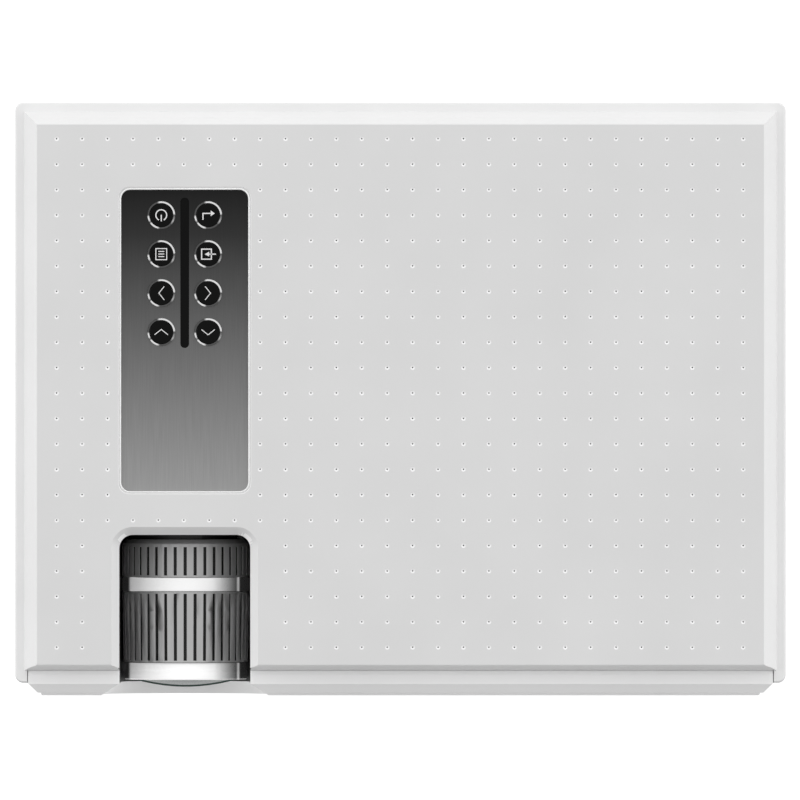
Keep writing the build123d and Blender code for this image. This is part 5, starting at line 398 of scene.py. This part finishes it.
def make_finishes():
    """One material for each slot of the record, and those of the finer pieces."""
    white, pale = (0.72, 0.72, 0.72), (0.9, 0.9, 0.9)
    glass_green, coating_green = (0.03, 0.055, 0.047), (0.065, 0.095, 0.085)
    return {
        "upper_shell": moulded("shell_satin", white, 0.42, depth=0.005),
        # painted light: slope and rim are lighter copies of the shell's white for the cover's slopes and
        # level rim faces
        "slope": moulded("slope_painted_light", (0.75, 0.75, 0.75), 0.42, depth=0.005),
        "rim": moulded("rim_painted_light", (0.84, 0.84, 0.84), 0.42, depth=0.005),
        # painted highlight: the lens bay's lip whiter than the shell
        "bay_lip": moulded("bay_lip_painted_highlight", (0.95, 0.95, 0.95), 0.3, depth=0.002),
        "lower_shell": moulded("case_satin", white, 0.5, depth=0.01),
        "front": moulded("front_satin", pale, 0.36, depth=0.004),
        "rear": moulded("rear_texture", (0.66, 0.66, 0.66), 0.55, grain=1400.0, depth=0.03),
        "grille": moulded("grille_satin", (0.58, 0.58, 0.59), 0.45),
        "control_plate": control_plate_painted_reflection(),
        "bright_trim": metal("plated_trim", (0.86, 0.86, 0.87), 0.09, scale=300.0, depth=0.0005, tone=0.02),
        "dark_window": moulded("window_gloss", (0.002, 0.002, 0.002), 0.12, depth=0.0008, gloss=0.1),
        "button_gloss": moulded("button_lacquer", (0.002, 0.002, 0.002), 0.14, depth=0.0008, gloss=0.1),
        "ring_grip": moulded("ring_paint", (0.30, 0.30, 0.30), 0.42),
        "dark_plastic": moulded("black_texture", (0.02, 0.02, 0.02), 0.5, grain=1500.0, depth=0.02),
        "lens_glass": glass("lens_coated", glass_green, coating_green, 0.0, 0.08, 0.5, 0.0, 0.0),
        "panel_glass": glass("panel_dark", (0.1, 0.1, 0.14), (0.3, 0.3, 0.4), 0.6),
        "clear_glass": glass("clear_acrylic", (0.9, 0.93, 0.93), (0.95, 0.97, 0.97), 0.95, 0.03),
        "mirror": metal("mirror_foil", (0.88, 0.88, 0.88), 0.06, scale=400.0, depth=0.0005),
        "copper_board": metal("copper_core", (0.75, 0.42, 0.24), 0.35),
        "aluminium": metal("extruded_aluminium", (0.72, 0.72, 0.74), 0.35, (1, 0.05, 1), 1500.0),
        "circuit_board": board_finish(),
        "steel": metal("zinc_sheet", (0.55, 0.56, 0.58), 0.38, (0.1, 1, 1), 1100.0),
        "brass": metal("turned_brass", (0.72, 0.54, 0.26), 0.28, (1, 1, 30), 300.0),
        "rubber": moulded("rubber_black", (0.022, 0.022, 0.022), 0.8, grain=1100.0, depth=0.03),
        "speaker_black": moulded("cone_paper", (0.018, 0.018, 0.018), 0.75, grain=900.0, depth=0.06),
        "tray_plastic": moulded("tray_texture", (0.035, 0.035, 0.038), 0.45, grain=1500.0, depth=0.02),
        # painted highlight: the dots' cones whiter than the shell round them
        "dot_white": moulded("dot_painted_highlight", (0.9, 0.9, 0.9), 0.3, depth=0.001),
        "dot_shadow": moulded("dot_pit", (0.03, 0.03, 0.03), 0.7, depth=0.002),
        "lens_silver_painted_shading": lens_silver_painted_shading(),
        "ring_painted_reflection": ring_painted_reflection(),
        "bead_white": moulded("bead_gloss", (0.9, 0.9, 0.9), 0.18, depth=0.001, coat=0.4),
        "glyph_white": moulded("print_white", (0.8, 0.8, 0.8), 0.35, depth=0.002),
    }


# ---------------------------------------------------------------------------------- mesh helpers
def piece(name, mesh_parts, finishes_used, body, sharp=30.0):
    """A new object from (vertices, faces with their finish numbers), smooth but for its sharp edges."""
    vertices, faces, numbers = mesh_parts
    mesh = bpy.data.meshes.new(name)
    mesh.from_pydata(vertices, [], faces)
    mesh.polygons.foreach_set("material_index", numbers)
    for finish in finishes_used:
        mesh.materials.append(finish)
    mesh.validate()
    mesh.shade_smooth()
    mesh.set_sharp_from_angle(angle=math.radians(sharp))
    obj = bpy.data.objects.new(name, mesh)
    bpy.context.scene.collection.objects.link(obj)
    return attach(obj, body)


def round_rectangle(width, length, radius, sides=8):
    """Corners-first outline of a rounded rectangle, anticlockwise, round (0, 0)."""
    points = []
    for i, (sx, sy) in enumerate(((1, 1), (-1, 1), (-1, -1), (1, -1))):
        cx, cy = sx * (width / 2 - radius), sy * (length / 2 - radius)
        for step in range(sides + 1):
            angle = math.radians(90 * i + 90 * step / sides)
            points.append((cx + radius * math.cos(angle), cy + radius * math.sin(angle)))
    return points


# ---------------------------------------------------------------------------------- top face
def flat_top(mesh, height):
    """The faces of the mesh that lie in the top face, and the edges of their outlines."""
    level = [f for f in mesh.faces if f.normal.z > EVEN and abs(f.calc_center_median().z - height) < 1e-5]
    inside = set(level)
    edges = [e for f in level for e in f.edges if sum(g in inside for g in e.link_faces) == 1]
    return level, edges


def distance_to(x, y, a, b):
    """Distance from a point to the line between two others."""
    ab = b - a
    t = max(0.0, min(1.0, ((x - a.x) * ab.x + (y - a.y) * ab.y) / max(ab.x**2 + ab.y**2, 1e-18)))
    return math.hypot(x - a.x - t * ab.x, y - a.y - t * ab.y)


def on_face(x, y, triangles):
    """True inside one of the flat triangles."""
    for a, b, c in triangles:
        d1 = (x - b.x) * (a.y - b.y) - (a.x - b.x) * (y - b.y)
        d2 = (x - c.x) * (b.y - c.y) - (b.x - c.x) * (y - c.y)
        d3 = (x - a.x) * (c.y - a.y) - (c.x - a.x) * (y - a.y)
        if not ((d1 < 0 or d2 < 0 or d3 < 0) and (d1 > 0 or d2 > 0 or d3 > 0)):
            return True
    return False


def cover_finish(face, height, low, high):
    """Number of the finish of a face outside the flat top, by its place and direction: the lens bay has black
    walls as painted shade and a whiter lip as a painted highlight, and level faces and slopes take lighter
    copies of the shell's white as painted light.
    """
    middle = face.calc_center_median()
    level = face.normal.z > LEVEL
    inside = low.x + BAY_WALL - BAY_FIT < middle.x < high.x - BAY_WALL + BAY_FIT
    inside = inside and low.y - BAY_FIT < middle.y < high.y - BAY_WALL + BAY_FIT
    # painted shade: the bay's walls deep below the lip take the black finish
    if inside and middle.z < height - BAY_LIP + BAY_FIT:
        return BAY_PAINTED_SHADE
    # painted highlight: the bay's lip takes a whiter copy of the shell's white
    if inside and abs(face.normal.z) < LEVEL:
        return LIP
    # painted light: level faces take the lighter rim white, the rest the slope white
    return RIM if level else SLOPE


def dot_places(outline, triangles):
    """The grid's places that lie in the flat face, clear of its outlines."""
    dots = []
    for column in range(DOT_COLUMNS):
        for row in range(DOT_ROWS):
            x, y = DOT_FIRST_X + column * DOT_PITCH, DOT_FIRST_Y - row * DOT_PITCH
            clear = all(distance_to(x, y, a, b) > DOT_MARGIN for a, b in outline)
            if clear and on_face(x, y, triangles):
                dots.append((x, y))
    return dots


def dot_circle(x, y, radius):
    angles = [2 * math.pi * i / DOT_SIDES for i in range(DOT_SIDES)]
    return [Vector((x + radius * math.cos(a), y + radius * math.sin(a))) for a in angles]


def face_round_dots(edges, triangles, dots):
    """The flat face cut anew between its outlines and the dots' edges: its points and its cells."""
    corners = list(dict.fromkeys(v for e in edges for v in e.verts))
    number = {v: i for i, v in enumerate(corners)}
    points = [v.co.xy for v in corners]
    lines = [tuple(number[v] for v in e.verts) for e in edges]
    for x, y in dots:
        start = len(points)
        points += dot_circle(x, y, DOT_RADIUS)
        lines += [(start + i, start + (i + 1) % DOT_SIDES) for i in range(DOT_SIDES)]
    flat, _, cells, _, _, _ = delaunay_2d_cdt(points, lines, [], 1, 1e-7)
    kept = []
    for cell in cells:
        middle = sum((flat[i] for i in cell), Vector((0, 0))) / len(cell)
        in_dot = any((middle.x - x) ** 2 + (middle.y - y) ** 2 < DOT_RADIUS**2 for x, y in dots)
        if on_face(middle.x, middle.y, triangles) and not in_dot:
            kept.append(list(cell))
    return flat, kept


def dimpled_cover(finishes):
    """The top cover with its grid of small countersunk dots."""
    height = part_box("top_cover")[1].z
    mesh = bmesh.new()
    mesh.from_mesh(frame["nodes"]["top_cover"].data)
    bmesh.ops.remove_doubles(mesh, verts=mesh.verts, dist=1e-6)
    level, edges = flat_top(mesh, height)
    triangles = [[v.co.xy for v in f.verts] for f in level]
    dots = dot_places([tuple(v.co.xy for v in e.verts) for e in edges], triangles)
    flat, cells = face_round_dots(edges, triangles, dots)
    bmesh.ops.delete(mesh, geom=level, context="FACES_ONLY")
    mesh.verts.ensure_lookup_table()
    mesh.verts.index_update()
    vertices = [v.co.copy() for v in mesh.verts]
    faces = [[v.index for v in f.verts] for f in mesh.faces]
    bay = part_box("lens_cradle")
    numbers = [cover_finish(f, height, *bay) for f in mesh.faces]
    mesh.free()
    base = len(vertices)
    vertices += [Vector((p.x, p.y, height)) for p in flat]
    faces += [[base + i for i in cell] for cell in cells]
    numbers += [FACE] * len(cells)
    rings = ((DOT_RADIUS, 0), (DOT_RIM, DOT_SINK), (DOT_RIM, DOT_HOLE))
    for x, y in dots:
        start = len(vertices)
        for radius, depth in rings:
            vertices += [Vector((p.x, p.y, height - depth)) for p in dot_circle(x, y, radius)]
        # painted highlight on each cone; the pinholes black as painted shade
        for ring, finish in enumerate((CONE, PINHOLE)):
            for i in range(DOT_SIDES):
                j = (i + 1) % DOT_SIDES
                a = start + ring * DOT_SIDES
                faces.append([a + i, a + j, a + DOT_SIDES + j, a + DOT_SIDES + i])
                numbers.append(finish)
        faces.append([start + 2 * DOT_SIDES + i for i in range(DOT_SIDES)])
        numbers.append(PINHOLE)
    used = [finishes[slot] for slot in COVER_SLOTS]
    cover = piece("top_cover_dotted", (vertices, faces, numbers), used, "housing")
    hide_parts("top_cover")


def plate_bead(finishes):
    """The bright rounded bead in the bevel round the control plate."""
    low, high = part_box("control_plate")
    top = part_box("top_cover")[1].z
    middle = (low + high) / 2
    width, length = high.x - low.x, high.y - low.y
    vertices, faces = [], []
    for share, drop in BEAD_PROFILE:
        grow = BEAD_FIT + share * BEAD_WIDTH
        z = top + drop * BEAD_RISE - BEAD_SINK
        for x, y in round_rectangle(width + 2 * grow, length + 2 * grow, PLATE_CORNER + grow):
            vertices.append(Vector((middle.x + x, middle.y + y, z)))
    count = len(vertices) // len(BEAD_PROFILE)
    for ring in range(len(BEAD_PROFILE) - 1):
        for i in range(count):
            j = (i + 1) % count
            a = ring * count
            faces.append([a + i, a + j, a + count + j, a + count + i])
    bead = piece("plate_bead", (vertices, faces, [0] * len(faces)), [finishes["bead_white"]], "housing", 60)


# ---------------------------------------------------------------------------------- pictograms
def ribbon(points, width, closed=False):
    """Outline of a line of that width through the points, as quads with mitred joints."""
    count = len(points)
    left, right = [], []
    for i, point in enumerate(points):
        before = points[i - 1] if closed or i > 0 else None
        after = points[(i + 1) % count] if closed or i < count - 1 else None
        steps = [(b - a).normalized() for a, b in ((before, point), (point, after)) if a and b]
        along = sum(steps, Vector((0, 0))).normalized()
        across = Vector((-along.y, along.x))
        half = width / 2 / max(0.4, across.dot(Vector((-steps[0].y, steps[0].x))))
        left.append(point + across * half)
        right.append(point - across * half)
    quads = [(i, (i + 1) % count) for i in range(count if closed else count - 1)]
    return [(left[i], right[i], right[j], left[j]) for i, j in quads]


def arc(radius, start, end, steps=24):
    angles = [math.radians(start + (end - start) * i / steps) for i in range(steps + 1)]
    return [Vector((radius * math.cos(a), radius * math.sin(a))) for a in angles]


def polyline(*pairs):
    return [Vector(p) * MM for p in pairs]


def box_line(x0, y0, x1, y1):
    return polyline((x0, y0), (x1, y0), (x1, y1), (x0, y1))


def arrow_head(tip, base, half):
    """A filled triangle whose tip and base lie on a level line."""
    (x0, y0), x1 = tip, base
    corners = polyline((x0, y0), (x1, y0 + half), (x1, y0 - half))
    return [(corners[0], corners[1], (corners[1] + corners[2]) / 2, corners[2])]


def pictograms():
    """Quads of each button's pictogram round (0, 0)."""
    line, fine = GLYPH_LINE, GLYPH_FINE
    menu = ribbon(box_line(-2.0, -2.05, 2.0, 2.05), line * 0.8, True)
    for y in (1.0, 0.05, -0.9):
        menu += ribbon(polyline((-1.1, y), (1.1, y)), line * 0.8)
    source = ribbon(box_line(-2.4, -1.85, 1.2, 1.85), line, True)
    source += ribbon(polyline((0.3, 0), (2.9, 0)), line) + arrow_head((-1.25, 0), 0.35, 0.9)
    back = ribbon(polyline((-1.9, -1.7), (-1.9, 0.65), (1.0, 0.65)), line)
    back += arrow_head((2.45, 0.65), 0.95, 1.05)
    return {
        "power_button": ribbon(arc(2.0 * MM, -63, 243), line) + ribbon(polyline((0, 0.15), (0, -2.3)), line),
        "return_button": back,
        "menu_button": menu,
        "source_button": source,
        "left_button": ribbon(polyline((1.1, 2.5), (-0.9, 0), (1.1, -2.5)), fine),
        "right_button": ribbon(polyline((-1.1, 2.5), (0.9, 0), (-1.1, -2.5)), fine),
        "up_button": ribbon(polyline((-2.45, -0.95), (0, 1.0), (2.45, -0.95)), fine),
        "down_button": ribbon(polyline((-2.45, 0.95), (0, -1.0), (2.45, 0.95)), fine),
    }


def add_pictograms(finishes):
    """Printed lines that stand a hair above each button's cap and ride on it."""
    for body, quads in pictograms().items():
        low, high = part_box(body)
        middle = (low + high) / 2
        vertices, faces = [], []
        for quad in quads:
            start = len(vertices)
            for z in (high.z, high.z + GLYPH_RISE):
                vertices += [Vector((middle.x + p.x, middle.y + p.y, z)) for p in quad]
            faces.append([start + 4 + i for i in range(4)])
            for i in range(4):
                j = (i + 1) % 4
                faces.append([start + i, start + j, start + 4 + j, start + 4 + i])
        mesh_parts = (vertices, faces, [0] * len(faces))
        glyph = piece(body + "_pictogram", mesh_parts, [finishes["glyph_white"]], body)


# ---------------------------------------------------------------------------------- finishes on nodes
def set_finish(node, finish):
    mesh = frame["nodes"][node].data
    mesh.materials.clear()
    mesh.materials.append(finish)


def finish_nodes(finishes):
    """Every node takes the finish of its slot in the record, and the lens and button rings get their own:
    painted shade in the grip rings' grooves, painted shading, highlight and glow on the lens's silver band
    and trim ring, and painted reflection arcs on the button rings.
    """
    for part in frame["record"]["subparts"]:
        set_finish(part["node"], finishes[part["material_slot"]])
    band_back, focus_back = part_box("lens_band")[1].y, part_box("focus_ring")[1].y
    lands = {"keystone_ring": band_back + KEYSTONE_RIBS, "focus_ring": focus_back}
    for node, land in lands.items():
        # grip rings: grey paint with painted shade in their grooves
        set_finish(node, ring_paint_with_groove_shade(node, GROOVE_RADIUS[node], land))
    for node in ("lens_band", "lens_trim_ring"):
        # painted shading, highlight and glow on the lens band and trim ring
        set_finish(node, finishes["lens_silver_painted_shading"])
    # painted reflection arcs on the button rings
    set_finish("button_rings", finishes["ring_painted_reflection"])


def soften(name, width):
    """Small rounded edges that catch the light."""
    node = frame["nodes"][name]
    weld = node.modifiers.new("weld", "WELD")
    weld.merge_threshold = 1e-6
    bevel = node.modifiers.new("bevel", "BEVEL")
    bevel.width = width
    bevel.segments = 2
    bevel.limit_method = "ANGLE"
    bevel.angle_limit = math.radians(EDGE_ANGLE)
    bevel.harden_normals = True


# ---------------------------------------------------------------------------------- stage
def seen_rays(nodes, links):
    """1 for what the camera sees, straight or in a mirror."""
    rays = nodes.new("ShaderNodeLightPath")
    seen = nodes.new("ShaderNodeMath")
    seen.operation = "MAXIMUM"
    links.new(rays.outputs["Is Camera Ray"], seen.inputs[0])
    links.new(rays.outputs["Is Glossy Ray"], seen.inputs[1])
    return seen.outputs["Value"]


def add_floor():
    """Pale floor that shows white to the camera and keeps a soft shadow."""
    bpy.ops.mesh.primitive_plane_add(size=6)
    floor = bpy.context.object
    floor.name = "floor"
    material, nodes, links, shader = new_material("floor_pale")
    vector = coordinates(nodes, links)
    patches = noise(nodes, links, vector, 4.0)
    links.new(ramp(nodes, links, patches, greys((0.3, 0.6), (0.7, 0.62))), shader.inputs["Base Color"])
    shader.inputs["Roughness"].default_value = 0.9
    glow = nodes.new("ShaderNodeEmission")
    glow.inputs["Strength"].default_value = FLOOR_GLOW
    both = nodes.new("ShaderNodeAddShader")
    links.new(shader.outputs["BSDF"], both.inputs[0])
    links.new(glow.outputs["Emission"], both.inputs[1])
    mix = nodes.new("ShaderNodeMixShader")
    links.new(seen_rays(nodes, links), mix.inputs["Fac"])
    links.new(shader.outputs["BSDF"], mix.inputs[1])
    links.new(both.outputs["Shader"], mix.inputs[2])
    links.new(mix.outputs["Shader"], nodes["Material Output"].inputs["Surface"])
    floor.data.materials.append(material)


def add_world():
    """Even light that is weaker from the front, in front of a white backdrop."""
    world = bpy.data.worlds.new("studio")
    world.use_nodes = True
    nodes, links = world.node_tree.nodes, world.node_tree.links
    light = nodes["Background"]
    light.inputs["Strength"].default_value = 1.0
    place = nodes.new("ShaderNodeTexCoord")
    axes = nodes.new("ShaderNodeSeparateXYZ")
    links.new(place.outputs["Generated"], axes.inputs["Vector"])
    backwards = nodes.new("ShaderNodeMapRange")
    backwards.inputs["From Min"].default_value = -1.0
    backwards.inputs["From Max"].default_value = 0.1
    links.new(axes.outputs["Y"], backwards.inputs["Value"])
    links.new(ramp(nodes, links, backwards.outputs["Result"], greys(*WORLD_TONES)), light.inputs["Color"])
    white = nodes.new("ShaderNodeBackground")
    white.inputs["Strength"].default_value = 1.0
    mix = nodes.new("ShaderNodeMixShader")
    links.new(seen_rays(nodes, links), mix.inputs["Fac"])
    links.new(light.outputs["Background"], mix.inputs[1])
    links.new(white.outputs["Background"], mix.inputs[2])
    links.new(mix.outputs["Shader"], nodes["World Output"].inputs["Surface"])
    bpy.context.scene.world = world


def add_lamp(name, place, power):
    """A soft rectangular lamp that faces the object."""
    data = bpy.data.lights.new(name, "AREA")
    data.shape = "RECTANGLE"
    data.size, data.size_y = LAMP_SIZE
    data.energy = power
    lamp = bpy.data.objects.new(name, data)
    lamp.location = place
    lamp.rotation_euler = (Vector(LAMP_AIM) - Vector(place)).to_track_quat("-Z", "Y").to_euler()
    bpy.context.scene.collection.objects.link(lamp)


def add_camera():
    """Straight down from far away, as the photograph was taken."""
    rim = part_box("top_cover")[1].z - RIM_BELOW_TOP
    data = bpy.data.cameras.new("camera")
    data.lens = CAMERA_LENS
    frame_width = PHOTO_SIZE * PIXEL
    distance = frame_width / data.sensor_width * data.lens
    data.clip_end = 2 * distance
    camera = bpy.data.objects.new("camera", data)
    middle = PHOTO_SIZE / 2
    camera.location = ((middle - PHOTO_X) * PIXEL, (PHOTO_Y - middle) * PIXEL, rim + distance)
    bpy.context.scene.collection.objects.link(camera)
    bpy.context.scene.camera = camera


# ---------------------------------------------------------------------------------- build
finishes = make_finishes()
finish_nodes(finishes)
dimpled_cover(finishes)
plate_bead(finishes)
add_pictograms(finishes)
for name in ("focus_ring", "keystone_ring", "lens_band", "lens_trim_ring"):
    soften(name, RING_EDGE)
for name in ("front_panel", "tray_bezel", "rear_panel", "bottom_case", "side_grilles", "speaker_grille"):
    soften(name, CASE_EDGE)
add_floor()
add_world()
for name, place, power in LAMPS:
    add_lamp(name, place, power)
add_camera()
bpy.context.scene.view_settings.view_transform = "Standard"
